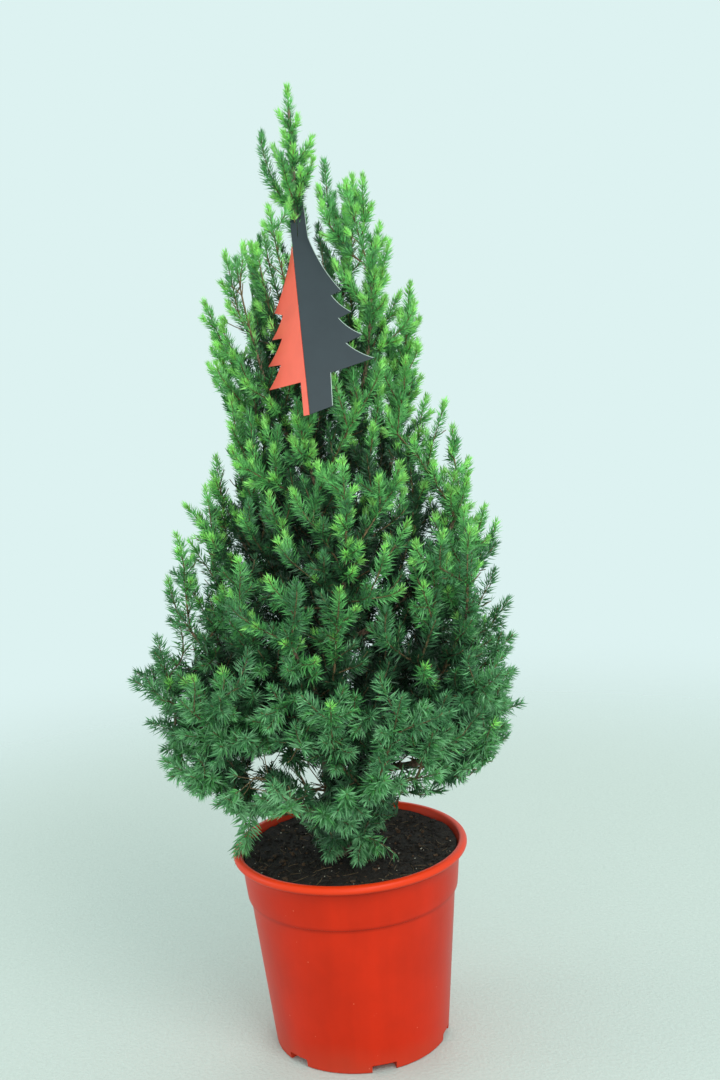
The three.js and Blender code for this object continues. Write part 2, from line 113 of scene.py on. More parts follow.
# Long shoots that stand out at both sides of the crown: how far across and up each tip is, and how
# many degrees its shoot leans outwards.
STANDING_OUT = (
    (0.036, 0.811, 4), (0.054, 0.837, 5), (0.068, 0.794, 13), (0.075, 0.776, 16),
    (0.092, 0.738, 10), (0.083, 0.730, 28), (0.098, 0.678, 46), (0.100, 0.650, 38),
    (0.103, 0.632, 20), (0.118, 0.628, 15), (0.123, 0.560, 14), (0.140, 0.570, 17),
    (0.152, 0.525, 18), (0.161, 0.490, 38), (0.160, 0.462, 25), (0.174, 0.430, 37),
    (0.172, 0.402, 47), (0.172, 0.366, 70), (0.178, 0.330, 72),
    (-0.034, 0.814, 10), (-0.053, 0.784, 11), (-0.047, 0.755, 15), (-0.077, 0.777, 12),
    (-0.100, 0.734, 20), (-0.086, 0.712, 20), (-0.086, 0.658, 36), (-0.077, 0.626, 15),
    (-0.082, 0.608, 2), (-0.101, 0.590, 3), (-0.134, 0.545, 36), (-0.121, 0.534, 32),
    (-0.134, 0.510, 25), (-0.144, 0.482, 23), (-0.155, 0.479, 6), (-0.170, 0.424, 8),
    (-0.198, 0.385, 51), (-0.190, 0.335, 67),
)
# The leader's side shoots from the top down: the first one's direction in degrees, and how far each
# tip is below the leader's and out from it.
LEADER = {
    "first": 175,
    "side_shoots": ((0.028, 0.009), (0.034, 0.011), (0.042, 0.017), (0.046, 0.009), (0.052, 0.019),
                    (0.056, 0.021), (0.060, 0.010), (0.064, 0.021), (0.068, 0.013), (0.072, 0.021),
                    (0.078, 0.010), (0.082, 0.020), (0.086, 0.014), (0.090, 0.019), (0.096, 0.012),
                    (0.100, 0.018), (0.106, 0.013)),
}

NEEDLES = {
    "count": 258_000,
    "width": 0.00100,
    "on_inner": 0.8,  # the share of them that stands on shaded shoots
    "long_shoots": 0.55,  # long shoots thin out this much more slowly
    "dry": 0.012,  # the share of dry ones, and how far they are behind a tip
    "dry_behind": 0.05,
}

SHOOT_STEP = 0.007  # between the points of a twig
TIP_GAP = 0.020  # no side shoot leaves the last stretch of another one
TWIG_RADIUS = 0.0012  # where a main limb turns into a twig
SPIRAL = 137.5  # degrees round a twig from one shoot or needle to the next
BACK_OF_LABEL = 0.003  # how close foliage comes to the label from behind
# How far apart shoots of each kind stand, as a share of the crown's tip_spacing, and how far from
# the shoots before them.
APART = {"proud": (1.8, 0.022), "outer": (1.0, 0.013), "inner": (1.3, 0.014)}
STRAIGHT = {"lead": 0.075, "hanging": 0.035}  # the last stretch of a shoot that stands out or hangs
# Sprigs on the long shoots: from how far behind a shoot's tip to how far, how far apart, how high
# up they begin, and how far they lean out.
SPRIGS = {"from": 0.026, "to": 0.080, "every": 0.013, "above": 0.30, "lean": 0.55}
BEFORE_LABEL = {"label_front": 0.080, "label_side": 0.060}  # the free space before each leaf
SEED = {"litter": 31, "plant": 2024, "needles": 77}
SHARP = {"pot": 38, "soil": 50, "bark": 60}  # faces that meet at more degrees keep a sharp edge
SIDES = {"trunk": 32, "bough": 10, "twig": 3}
TRIANGLES_PER_PIECE = 190_000

# ---- Reading the frame ----


def corners(node):
    """A CAD node's vertices as an array."""
    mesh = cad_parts[node].data
    points = np.empty(len(mesh.vertices) * 3, np.float32)
    mesh.vertices.foreach_get("co", points)
    return points.reshape(-1, 3).astype(float)


def triangles(node):
    """A CAD node's triangles, as an array of three corners each."""
    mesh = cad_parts[node].data
    mesh.calc_loop_triangles()
    index = np.empty(len(mesh.loop_triangles) * 3, np.int32)
    mesh.loop_triangles.foreach_get("vertices", index)
    return corners(node)[index].reshape(-1, 3, 3)


def surface_tree(nodes):
    """A search tree over the faces of CAD nodes."""
    faces = np.concatenate([triangles(node) for node in nodes])
    index = np.arange(len(faces) * 3).reshape(-1, 3)
    return BVHTree.FromPolygons(faces.reshape(-1, 3).tolist(), index.tolist())


def unit(vectors):
    return vectors / np.maximum(np.linalg.norm(vectors, axis=-1, keepdims=True), 1e-12)


def trunk_stations():
    """The height, centre and radius of the CAD trunk's rings, from the foot up."""
    points = np.unique(corners("trunk").round(5), axis=0)
    stations = []
    for height in np.unique(points[:, 2].round(4)):
        ring = points[abs(points[:, 2] - height) < 1e-4]
        if len(ring) < 5:
            continue
        middle = (ring.min(0) + ring.max(0)) / 2
        radius = np.median(np.linalg.norm((ring - middle)[:, :2], axis=1))
        stations.append((height, middle[0], middle[1], radius))
    return np.array(stations)


TRUNK = trunk_stations()


def trunk_at(heights):
    """The trunk's centre at each height."""
    heights = np.asarray(heights, float)
    x = np.interp(heights, TRUNK[:, 0], TRUNK[:, 1])
    y = np.interp(heights, TRUNK[:, 0], TRUNK[:, 2])
    return np.stack([x, y, heights], -1)


def trunk_radius(heights):
    return np.interp(heights, TRUNK[:, 0], TRUNK[:, 3])


def crown_at(heights, what):
    """A measure of the crown at given heights."""
    return np.interp(heights, CROWN["height"], CROWN[what])


# ---- Materials ----


class Socket:
    """A shader output that takes part in Python arithmetic: each operator adds a Math node."""

    def __init__(self, shader, output):
        self.shader = shader
        self.output = output

    def _math(self, operation, first, second):
        return self.shader.node("ShaderNodeMath", {"operation": operation}, {0: first, 1: second})

    def __add__(self, other):
        return self._math("ADD", self, other)

    def __sub__(self, other):
        return self._math("SUBTRACT", self, other)

    def __rsub__(self, other):
        return self._math("SUBTRACT", other, self)

    def __mul__(self, other):
        return self._math("MULTIPLY", self, other)

    __radd__ = __add__
    __rmul__ = __mul__


def linear(red, green, blue):
    """A display colour from 0 to 255 as a linear one with alpha."""
    shown = np.array([red, green, blue]) / 255
    return (*np.where(shown < 0.04045, shown / 12.92, ((shown + 0.055) / 1.055) ** 2.4), 1.0)


class Finish:
    """A material that is built node by node round its Principled shader."""

    def __init__(self, name, colour, roughness):
        self.material = bpy.data.materials.new(name)
        self.material.use_nodes = True
        self.tree = self.material.node_tree
        self.shader = self.tree.nodes["Principled BSDF"]
        self.set("Base Color", colour)
        self.set("Roughness", roughness)

    def set(self, name, value):
        self._join(self.shader.inputs[name], value)

    def _join(self, target, value):
        if isinstance(value, Socket):
            self.tree.links.new(value.output, target)
        else:
            target.default_value = value

    def node(self, kind, settings=None, sockets=None, output=0):
        """Adds a node: its settings first, then the values or links of its sockets."""
        made = self.tree.nodes.new(kind)
        for name, value in (settings or {}).items():
            if name == "stops":
                for extra in range(len(value) - 2):
                    made.color_ramp.elements.new(0.5)
                for element, (place, colour) in zip(made.color_ramp.elements, value):
                    element.position = place
                    element.color = colour
            else:
                setattr(made, name, value)
        for name, value in (sockets or {}).items():
            self._join(made.inputs[name], value)
        return Socket(self, made.outputs[output])

    def place(self):
        return self.node("ShaderNodeTexCoord", output="Object")

    def noise(self, scale, detail=3.0, roughness=0.55, where=None):
        sockets = {"Vector": where or self.place(), "Scale": scale, "Detail": detail,
                   "Roughness": roughness}
        return self.node("ShaderNodeTexNoise", sockets=sockets)

    def cells(self, scale, where=None):
        sockets = {"Vector": where or self.place(), "Scale": scale}
        return self.node("ShaderNodeTexVoronoi", {"feature": "F1"}, sockets)

    def stretched(self, x, y, z):
        """Object coordinates scaled along each axis."""
        return self.node("ShaderNodeMapping", sockets={"Vector": self.place(), "Scale": (x, y, z)})

    def mask(self, value, low, high):
        """0 below low and 1 above high, and the other way round where low is the larger."""
        stops = [(low, (0, 0, 0, 1)), (high, (1, 1, 1, 1))]
        if low > high:
            stops = [(high, (1, 1, 1, 1)), (low, (0, 0, 0, 1))]
        return self.node("ShaderNodeValToRGB", {"stops": stops}, {"Fac": value})

    def mix(self, share, first, second):
        """One colour turning into another."""
        sockets = {0: share, 6: first, 7: second}
        return self.node("ShaderNodeMix", {"data_type": "RGBA"}, sockets, output=2)

    def mottle(self, value, low, high, colour, dark, pale):
        """A colour turning from darker to paler where a value rises from low to high."""
        return self.mix(self.mask(value, low, high), shade(colour, dark), shade(colour, pale))

    def bump(self, height, distance, strength=1.0):
        sockets = {"Height": height, "Distance": distance, "Strength": strength}
        self.set("Normal", self.node("ShaderNodeBump", sockets=sockets))


def shade(colour, factor):
    """A colour made darker or lighter."""
    return tuple(min(1.0, channel * factor) for channel in colour[:3]) + (1.0,)


def needle_finish(name, colour):
    """Waxy green, a little uneven from needle to needle."""
    finish = Finish(name, colour, 0.42)
    uneven = finish.noise(140, detail=2)
    finish.set("Base Color", finish.mottle(uneven, 0.32, 0.68, colour, 0.68, 1.36))
    finish.set("Roughness", 0.36 + 0.16 * uneven)
    finish.bump(finish.noise(900, detail=1), 0.0002, 0.4)
    return finish.material


def bark_finish(name, colour, pale, scale):
    """Scaly bark: dark cracks between paler plates."""
    finish = Finish(name, colour, 0.85)
    grain = finish.noise(scale * 0.5, detail=6, where=finish.stretched(1, 1, 0.4))
    plates = finish.cells(scale, where=finish.stretched(1, 1, 0.45))
    blotches = finish.mix(finish.mask(grain, 0.35, 0.68), shade(colour, 0.72), pale)
    cracks = finish.mask(plates, 0.62, 0.9)
    finish.set("Base Color", finish.mix(cracks, blotches, shade(colour, 0.35)))
    finish.set("Roughness", 0.72 + 0.22 * grain)
    finish.bump(grain * 0.7 + plates * 0.5, 0.0012, 0.9)
    return finish.material


def pot_finish():
    """Orange-red polypropylene, faint orange-peel skin, dusty patches, pale specks, painted rim
    highlight and shade lines.
    """
    colour = linear(198, 38, 4)
    finish = Finish("pot_plastic", colour, 0.36)
    finish.set("Specular IOR Level", 0.2)
    cloud = finish.noise(14, detail=5, roughness=0.6)
    flow = finish.noise(40, detail=3, where=finish.stretched(1, 1, 0.12))
    height = finish.node("ShaderNodeSeparateXYZ", sockets={"Vector": finish.place()}, output=2)

    def band(level, bottom, low, high, top):
        """1 from low to high over a level, fading out to the bottom and the top."""
        rising = finish.mask(height, level + bottom, level + low)
        return rising * finish.mask(height, level + top, level + high)

    low = finish.mask(height * 10 + cloud * 0.5, 0.55, 0.2)
    skin = finish.mottle(cloud * 0.6 + flow * 0.4, 0.38, 0.64, colour, 0.88, 1.08)
    dusty = finish.mix(low * 0.22, skin, linear(196, 96, 70))
    specks = finish.mask(finish.cells(95), 0.075, 0.03)
    sparse = finish.mask(finish.noise(21, detail=1), 0.55, 0.6)
    top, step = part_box("pot")[1].z, POT["collar_foot"]
    # Painted highlight: a brighter orange band along the top of the rim.
    painted_rim_highlight = finish.mask(height, top - 0.0072, top - 0.0062)
    # Painted shadow: thin dark red lines on the wall just under the rim bead and under the collar's
    # overhang.
    under = band(top, -0.0105, -0.0092, -0.0076, -0.0068)
    painted_collar_shadow = band(step, -0.0011, -0.0003, 0.0004, 0.0012)
    shade_lined = finish.mix(under * 0.5 + painted_collar_shadow * 0.55, dusty, linear(112, 14, 2))
    coloured = finish.mix(painted_rim_highlight * 0.75, shade_lined, linear(232, 62, 22))
    finish.set("Base Color", finish.mix(specks * sparse * 0.5, coloured, linear(232, 150, 120)))
    finish.set("Roughness", 0.30 + 0.16 * cloud + 0.12 * low)
    finish.bump(finish.noise(420, detail=2) * 0.5 + flow * 1.2, 0.00022, 0.6)
    return finish.material


def soil_finish():
    """Damp peat: nearly black, with browner crumbs showing."""
    finish = Finish("potting_mix", linear(38, 33, 26), 0.95)
    coarse = finish.noise(150, detail=7, roughness=0.7)
    fine = finish.noise(620, detail=4, roughness=0.7)
    brown = finish.mix(finish.mask(coarse, 0.42, 0.7), linear(20, 17, 13), linear(58, 45, 31))
    finish.set("Base Color", finish.mix(finish.mask(fine, 0.60, 0.74), brown, linear(86, 71, 50)))
    finish.set("Roughness", 0.82 + 0.16 * fine)
    finish.bump(coarse * 1.5 + fine * 0.6, 0.003, 1.0)
    return finish.material


def crumb_finish(name, colour):
    finish = Finish(name, colour, 0.9)
    grain = finish.noise(700, detail=4)
    finish.set("Base Color", finish.mottle(grain, 0.35, 0.7, colour, 0.6, 1.3))
    finish.bump(grain, 0.0008, 0.8)
    return finish.material


def card_finish(name, colour):
    """Printed plastic card: an even satin colour over a very fine grain."""
    finish = Finish(name, colour, 0.42)
    finish.set("Specular IOR Level", 0.3)
    cloud = finish.noise(60, detail=3)
    finish.set("Base Color", finish.mottle(cloud, 0.3, 0.7, colour, 0.94, 1.05))
    finish.set("Roughness", 0.36 + 0.12 * cloud)
    finish.bump(finish.noise(1500, detail=1), 0.0001, 0.5)
    return finish.material


def floor_finish(clear_from, clear_to):
    """A pale floor that fades away round the object."""
    colour = linear(195, 203, 196)
    finish = Finish("floor", colour, 0.9)
    length = {"operation": "LENGTH"}
    out = finish.node("ShaderNodeVectorMath", length, {0: finish.place()}, output=1)
    fade = {0: out, 1: clear_from, 2: clear_to}
    smooth = {"interpolation_type": "SMOOTHERSTEP"}
    finish.set("Alpha", 1 - finish.node("ShaderNodeMapRange", smooth, fade))
    grain = finish.noise(260, detail=4)
    finish.set("Base Color", finish.mottle(grain, 0.3, 0.7, colour, 0.93, 1.0))
    finish.bump(grain, 0.002, 0.5)
    return finish.material


# ---- Making pieces ----


def placed(name, data):
    """A new object in the scene."""
    made = bpy.data.objects.new(name, data)
    bpy.context.scene.collection.objects.link(made)
    return made


def piece(name, mesh, materials, replaced=()):
    """A finished piece: it rides on the plant, with its finish and the nodes that it stands for."""
    made = placed(name, mesh)
    for material in materials:
        mesh.materials.append(material)
    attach(made, "root")
    if replaced:
        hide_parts(*replaced)
    return made


def mesh_of(name, bm, smooth_under=None):
    """A bmesh as a mesh, shaded smooth where its faces meet under an angle in degrees."""
    mesh = bpy.data.meshes.new(name)
    bm.to_mesh(mesh)
    bm.free()
    if smooth_under:
        mesh.shade_smooth()
        mesh.set_sharp_from_angle(angle=math.radians(smooth_under))
    return mesh


def mesh_from_arrays(name, points, faces, smooth=False):
    """Many small things as one mesh: points, and faces that all have as many corners."""
    mesh = bpy.data.meshes.new(name)
    count, sides = faces.shape
    mesh.vertices.add(len(points))
    mesh.vertices.foreach_set("co", points.astype(np.float32).ravel())
    mesh.loops.add(count * sides)
    mesh.loops.foreach_set("vertex_index", faces.astype(np.int32).ravel())
    mesh.polygons.add(count)
    mesh.polygons.foreach_set("loop_start", np.arange(count, dtype=np.int32) * sides)
    mesh.polygons.foreach_set("use_smooth", np.full(count, smooth))
    mesh.update(calc_edges=True)
    return mesh


def applied(made):
    """Turns a piece's modifiers into its mesh."""
    graph = bpy.context.evaluated_depsgraph_get()
    old = made.data
    made.data = bpy.data.meshes.new_from_object(made.evaluated_get(graph))
    made.modifiers.clear()
    bpy.data.meshes.remove(old)
    return made


def perpendiculars(directions):
    """Two unit vectors across each direction, chosen the same way every time."""
    upright = np.abs(directions[:, 2]) > 0.8
    helper = np.where(upright[:, None], [1.0, 0.0, 0.0], [0.0, 0.0, 1.0])
    first = unit(np.cross(directions, helper))
    return first, np.cross(directions, first)


# ---- Pot ----


def wall_radius(z):
    """Outside of the pot's wall at a height under the rim."""
    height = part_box("pot")[1].z
    taper = POT["collar_radius"] - POT["collar_step"] - POT["foot_radius"]
    share = z / (height - POT["rim_depth"])
    step = POT["collar_step"] if z > POT["collar_foot"] else 0
    return POT["foot_radius"] + taper * share + step


def arc(centre, radius, start, end, steps):
    """Points of a circular arc, as radius and height."""
    angles = [math.radians(start + (end - start) * i / steps) for i in range(steps + 1)]
    return [(centre[0] + radius * math.cos(a), centre[1] + radius * math.sin(a)) for a in angles]


def pot_profile():
    """Round the pot's wall from the middle of its underside to the middle of its floor inside."""
    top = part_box("pot")[1].z
    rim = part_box("pot")[1].x
    under = top - POT["rim_depth"]
    foot, wall, floor = POT["foot_radius"], POT["wall"], POT["floor"]
    edge, corner = POT["foot_edge"], POT["floor_corner"]
    bead, inner_edge = POT["rim_bead"], POT["rim_inner_edge"]
    step = POT["collar_foot"]
    collar = wall_radius(step + 0.001)
    outer = arc((foot - edge, edge), edge, -90, 0, 4)
    outer += [(wall_radius(z), z) for z in (0.02, 0.06, 0.10, 0.14, step - 0.0035)]
    outer += [(wall_radius(step) + 0.0003, step - 0.0008), (collar - 0.0004, step + 0.0004)]
    outer += [(collar, step + 0.0018)]
    outer += [(wall_radius(z), z) for z in (0.165, 0.178, under - 0.003)]
    outer += arc((rim - bead, top - bead), bead, -118, 90, 14)
    outer += arc((rim - bead - 0.0012, top - inner_edge), inner_edge, 90, 170, 5)
    inner = [(wall_radius(z) - wall, z) for z in (under + 0.001, 0.170, step + 0.004)]
    inner += [(wall_radius(step) - wall, step - 0.003)]
    inner += [(wall_radius(z) - wall, z) for z in (0.10, 0.05, 0.02)]
    inner += arc((wall_radius(0.005) - wall - corner, floor + corner), corner, 0, -90, 4)
    return [(0.0, 0.0)] + outer + inner + [(0.0, floor)]


def spun(profile, steps):
    """A profile of radius and height turned about the Z axis."""
    bm = bmesh.new()
    verts = [bm.verts.new((radius, 0, z)) for radius, z in profile]
    edges = [bm.edges.new(pair) for pair in zip(verts, verts[1:])]
    bmesh.ops.spin(bm, geom=verts + edges, axis=(0, 0, 1), cent=(0, 0, 0), angle=2 * math.pi,
                   steps=steps, use_merge=True)
    bmesh.ops.remove_doubles(bm, verts=bm.verts[:], dist=1e-6)
    bmesh.ops.recalc_face_normals(bm, faces=bm.faces[:])
    return bm


def at_notches(inner, outer, width, bottom, top, rounding):
    """A block with rounded edges across the pot's foot at every notch."""
    bm = bmesh.new()
    notches = POT["notches"]
    for i in range(notches["count"]):
        block = bmesh.ops.create_cube(bm, size=1)["verts"]
        bmesh.ops.scale(bm, vec=(outer - inner, width, top - bottom), verts=block)
        bmesh.ops.translate(bm, vec=((inner + outer) / 2, 0, (bottom + top) / 2), verts=block)
        turn = Matrix.Rotation(math.radians(notches["first"] + i * 360 / notches["count"]), 3, "Z")
        bmesh.ops.rotate(bm, cent=(0, 0, 0), matrix=turn, verts=block)
    bmesh.ops.bevel(bm, geom=bm.edges[:], offset=rounding, segments=2, profile=0.5, affect="EDGES",
                    material=-1)
    return placed("notch_block", mesh_of("notch_block", bm))


def combine(made, other, operation):
    """Joins another body to a piece or cuts it away."""
    modifier = made.modifiers.new(operation.lower(), "BOOLEAN")
    modifier.operation = operation
    modifier.object = other
    modifier.solver = "EXACT"
    applied(made)
    bpy.data.objects.remove(other)


def build_pot():
    """The pot's shell, with its drain notches, their pockets and the slots into the pot."""
    notches, wall = POT["notches"], POT["wall"]
    foot = POT["foot_radius"]
    inner = foot - notches["depth"]
    made = piece("pot_shell", mesh_of("pot_shell", spun(pot_profile(), POT["around"])),
                 [pot_finish()], ["pot"])
    pockets = at_notches(inner - wall, foot - wall / 2, notches["width"] + 2 * wall, 0.0012,
                         notches["height"] + wall, 0.0008)
    combine(made, pockets, "UNION")
    cuts = at_notches(inner, foot + 0.006, notches["width"], -0.004, notches["height"], 0.0012)
    combine(made, cuts, "DIFFERENCE")
    slots = at_notches(inner - 2 * wall, inner + 0.002, notches["slot_width"], POT["floor"],
                       POT["floor"] + notches["slot_height"], 0.0004)
    combine(made, slots, "DIFFERENCE")
    made.data.shade_smooth()
    made.data.set_sharp_from_angle(angle=math.radians(SHARP["pot"]))


# ---- Potting mix ----


def soil_height(x, y):
    """The lumpy top of the potting mix, a little banked up at the stem and at the wall."""
    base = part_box("trunk")[0].z
    stem = trunk_at(base)
    from_stem = math.hypot(x - stem[0], y - stem[1])
    bank = SOIL["bank"] * math.exp(-(from_stem / SOIL["bank_reach"]) ** 2)
    spot = Vector((x, y, 0))
    swell = 0.0022 * noise.noise(spot * 28)
    lumps = 0.0016 * noise.noise(spot * 95) + 0.0011 * abs(noise.noise(spot * 260))
    edge = max(0.0, math.hypot(x, y) - SOIL["edge_from"])
    return base - 0.0005 + bank + swell + lumps + SOIL["edge_slope"] * edge


def build_soil():
    """The potting mix: a plug in the pot with a lumpy top."""
    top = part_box("trunk")[0].z
    reach = wall_radius(top) - POT["wall"] - 0.0002
    bottom = POT["notches"]["height"] + POT["wall"] + 0.002
    rings = SOIL["rings"]
    profile = [(0.0, bottom), (wall_radius(bottom) - POT["wall"] - 0.0004, bottom), (reach, top)]
    profile += [(reach * (1 - i / rings), top) for i in range(1, rings + 1)]
    bm = spun(profile, SOIL["around"])
    for vert in bm.verts:
        if vert.co.z > top - 1e-5:
            vert.co.z = soil_height(vert.co.x, vert.co.y)
    mesh = mesh_of("soil_body", bm, smooth_under=SHARP["soil"])
    piece("soil_body", mesh, [soil_finish()], ["soil"])


def soil_spots(random, count, reach=0.101):
    """Random places on the potting mix."""
    radius = reach * np.sqrt(random.random(count))
    angle = random.random(count) * 2 * math.pi
    spots = np.stack([radius * np.cos(angle), radius * np.sin(angle)], 1)
    heights = [soil_height(x, y) for x, y in spots]
    return np.column_stack([spots, heights])


def crumbs(name, random, spots, sizes, material):
    """Lumps of uneven shape, each a ball of twenty faces."""
    bm = bmesh.new()
    bmesh.ops.create_icosphere(bm, subdivisions=1, radius=1)
    bm.verts.ensure_lookup_table()
    ball = np.array([vert.co for vert in bm.verts])
    faces = np.array([[vert.index for vert in face.verts] for face in bm.faces])
    bm.free()
    count = len(spots)
    shape = ball[None] * random.uniform(0.6, 1.25, (count, len(ball), 1))
    shape = shape * sizes[:, None, None] * random.uniform(0.55, 1.3, (count, 1, 3)) * [1, 1, 0.75]
    points = shape + spots[:, None] + [0, 0, 0.25] * sizes[:, None, None]
    index = faces[None] + (np.arange(count) * len(ball))[:, None, None]
    mesh = mesh_from_arrays(name, points.reshape(-1, 3), index.reshape(-1, 3))
    piece(name, mesh, [material])


def build_soil_litter():
    """Peat crumbs, bark chips, pale grains and fibres on the potting mix."""
    random = np.random.default_rng(SEED["litter"])
    for name, count, low, high, colour in (
        ("peat_crumbs", 1500, 0.0007, 0.0030, linear(36, 30, 24)),
        ("bark_chips", 260, 0.0010, 0.0032, linear(84, 62, 42)),
        ("pale_grains", 70, 0.0006, 0.0014, linear(206, 198, 178)),
    ):
        sizes = low + (high - low) * random.random(count) ** 3
        crumbs(name, random, soil_spots(random, count), sizes, crumb_finish(name, colour))
    count = 90
    start = soil_spots(random, count, 0.098) + [0, 0, 0.0008]
    angle = random.random(count) * 2 * math.pi
    away = np.stack([np.cos(angle), np.sin(angle), random.uniform(-0.05, 0.28, count)], 1)
    side = np.stack([-np.sin(angle), np.cos(angle), np.zeros(count)], 1)
    length = random.uniform(0.005, 0.017, (count, 1))
    curl = random.uniform(-0.5, 0.5, (count, 1))
    chains = []
    for share in np.linspace(0, 1, 5):
        chains.append(start + away * length * share + side * curl * length * share ** 2)
    lines = np.stack(chains, 1)
    radii = np.full(lines.shape[:2], 0.00028)
    points, faces = tubes(zip(lines, radii), SIDES["twig"])
    mesh = mesh_from_arrays("soil_fibres", points, faces)
    piece("soil_fibres", mesh, [crumb_finish("soil_fibres", linear(112, 94, 68))])


# ---- Label ----

LABEL = {
    "thickness": 0.0006,
    "neck": 0.0142,
    "neck_start": -0.068,
    "pale_edge": 0.0006,
    "side_start": 0.165,  # where the red leaf begins, as a share of the fold
    # Each branch: the place along the fold and distance from it of its tip and of the notch after
    # it, as shares of the fold's length and the leaf's width.
    "front": ((0.402, 0.640, 0.426, 0.495), (0.515, 0.755, 0.542, 0.560),
              (0.631, 0.873, 0.667, 0.626), (0.749, 1.0, 0.807, 0.360)),
    "side": ((0.400, 0.635, 0.446, 0.420), (0.516, 0.760, 0.550, 0.500),
             (0.626, 0.930, 0.667, 0.600), (0.738, 0.965, 0.825, 0.130)),
    "branch_handle": (0.58, 0.33),  # how a branch's upper edge curves: a share of its run and rise
    "front_foot": (0.965, 0.335),
    "side_foot": (0.985, 0.140),
    "bow": 0.0016,
    "strips": 0.008,  # how wide the card's faces are, so that it can bow
    "slit": 0.014,
}


def leaf_plane(node):
    """A leaf's corners, its normal and how far along that its middle lies, from its CAD solid."""
    points = np.unique(corners(node).round(6), axis=0)
    faces = triangles(node)
    normals = np.cross(faces[:, 1] - faces[:, 0], faces[:, 2] - faces[:, 0])
    widest = unit(normals[np.argmax(np.linalg.norm(normals, axis=1))])
    facing = widest * -np.sign(widest[1])
    levels = points[:, None] @ facing
    return points, facing, (levels.min() + levels.max()) / 2


def fold_frame():
    """The fold's top and foot, where the planes of both leaves meet."""
    points, front, front_level = leaf_plane("label_front")
    _, side, side_level = leaf_plane("label_side")
    down = unit(np.cross(front, side))
    down = down * -np.sign(down[2])
    base = np.linalg.solve(np.stack([front, side, down]), [front_level, side_level, 0.0])
    along = points @ down
    return base + down * along.min(), base + down * along.max(), down


def quadratic(start, handle, end, steps):
    """Points of a quadratic curve, without its start."""
    shares = [i / steps for i in range(1, steps + 1)]
    axes = list(zip(start, handle, end))
    return [tuple((1 - t) ** 2 * a + 2 * t * (1 - t) * h + t * t * b for a, h, b in axes)
            for t in shares]


def leaf_outline(is_front, length, span):
    """Half of a tree outline: along the fold, and out from it."""
    start = (LABEL["neck_start"] if is_front else LABEL["side_start"]) * length
    outline = [(start, 0.0)]
    if is_front:
        outline += [(start, LABEL["neck"]), (0.12 * length, LABEL["neck"] * 1.06)]
    here = outline[-1]
    for along, out, notch_along, notch_out in LABEL["front" if is_front else "side"]:
        tip = (along * length, out * span)
        bend = LABEL["branch_handle"]
        handle = tuple(a + share * (b - a) for a, b, share in zip(here, tip, bend))
        outline += quadratic(here, handle, tip, 14)
        here = (notch_along * length, notch_out * span)
        outline.append(here)
    foot_along, foot_out = LABEL["front_foot" if is_front else "side_foot"]
    return outline + [(foot_along * length, foot_out * span), (length, 0.0)]


def build_leaf(node, name, colour, is_front):
    """One leaf: a thin card, bowed a little out from the fold, with darker cut edges."""
    top, foot, down = fold_frame()
    points, facing, _ = leaf_plane(node)
    across = unit(points.mean(0) - top - down * ((points.mean(0) - top) @ down))
    across = unit(across - facing * (across @ facing))
    length = np.linalg.norm(foot - top)
    span = ((points - top) @ across).max()
    bm = bmesh.new()
    verts = [bm.verts.new((along, out, 0)) for along, out in leaf_outline(is_front, length, span)]
    face = bm.faces.new(verts)
    face.normal_update()
    borders = bmesh.ops.inset_individual(bm, faces=[face], thickness=LABEL["pale_edge"],
                                         use_even_offset=True)
    for border in borders["faces"]:  # pale on the front leaf, but not on its branches' undersides
        rim = max(border.edges, key=lambda edge: edge.is_boundary)
        ends = rim.verts[1].co, rim.verts[0].co
        upper, lower = sorted(ends, key=lambda place: place.x)
        widens = lower.y - upper.y > -0.3 * (lower.x - upper.x)
        if is_front and widens and border.calc_center_median().y > 0.002:
            border.material_index = 1
    for axis, reach in (((1, 0, 0), length), ((0, 1, 0), span)):
        for step in np.arange(LABEL["strips"], reach, LABEL["strips"]):
            everything = bm.verts[:] + bm.edges[:] + bm.faces[:]
            bmesh.ops.bisect_plane(bm, geom=everything, plane_co=Vector(axis) * step, plane_no=axis)
    for vert in bm.verts:
        share = vert.co.y / span
        vert.co.z = LABEL["bow"] * (share ** 2 + 0.5 * math.sin(3 * vert.co.x / length) * share)
    place = Matrix(np.column_stack([down, across, facing]).tolist()).to_4x4()
    place.translation = Vector(top + across * LABEL["thickness"] * 0.5)
    bmesh.ops.transform(bm, matrix=place, verts=bm.verts[:])
    bmesh.ops.recalc_face_normals(bm, faces=bm.faces[:])
    edge = card_finish(name + "_edge", linear(158, 174, 164))
    cut = card_finish(name + "_cut", shade(colour, 0.8))
    made = piece(name, mesh_of(name, bm), [card_finish(name, colour), edge, cut], [node])
    thick = made.modifiers.new("card", "SOLIDIFY")
    thick.thickness = LABEL["thickness"]
    thick.offset = 0
    thick.material_offset_rim = 2
    applied(made)
    if is_front:
        combine(made, stem_hole(), "DIFFERENCE")
        combine(made, neck_slit(), "DIFFERENCE")


def stem_hole():
    """A round post a little wider than the stem, where it passes through the label's neck."""
    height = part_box("label_front")[1].z
    centre = trunk_at(height)
    radius = trunk_radius(height) + 0.0009
    bm = bmesh.new()
    bmesh.ops.create_cone(bm, cap_ends=True, segments=24, radius1=radius, radius2=radius,
                          depth=0.03)
    bmesh.ops.translate(bm, vec=centre, verts=bm.verts[:])
    return placed("stem_hole", mesh_of("stem_hole", bm))


def neck_slit():
    """A thin blade where the neck is slit below its hole, to be pushed over the leader."""
    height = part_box("label_front")[1].z
    start = trunk_at(height - 0.006)
    bm = bmesh.new()
    bmesh.ops.create_cube(bm, size=1)
    bmesh.ops.scale(bm, vec=(0.0006, 0.03, LABEL["slit"]), verts=bm.verts[:])
    middle = (start[0], -0.008, start[2] - LABEL["slit"] / 2)
    bmesh.ops.translate(bm, vec=middle, verts=bm.verts[:])
    return placed("neck_slit", mesh_of("neck_slit", bm))


# ---- Skeleton: limbs and twigs ----


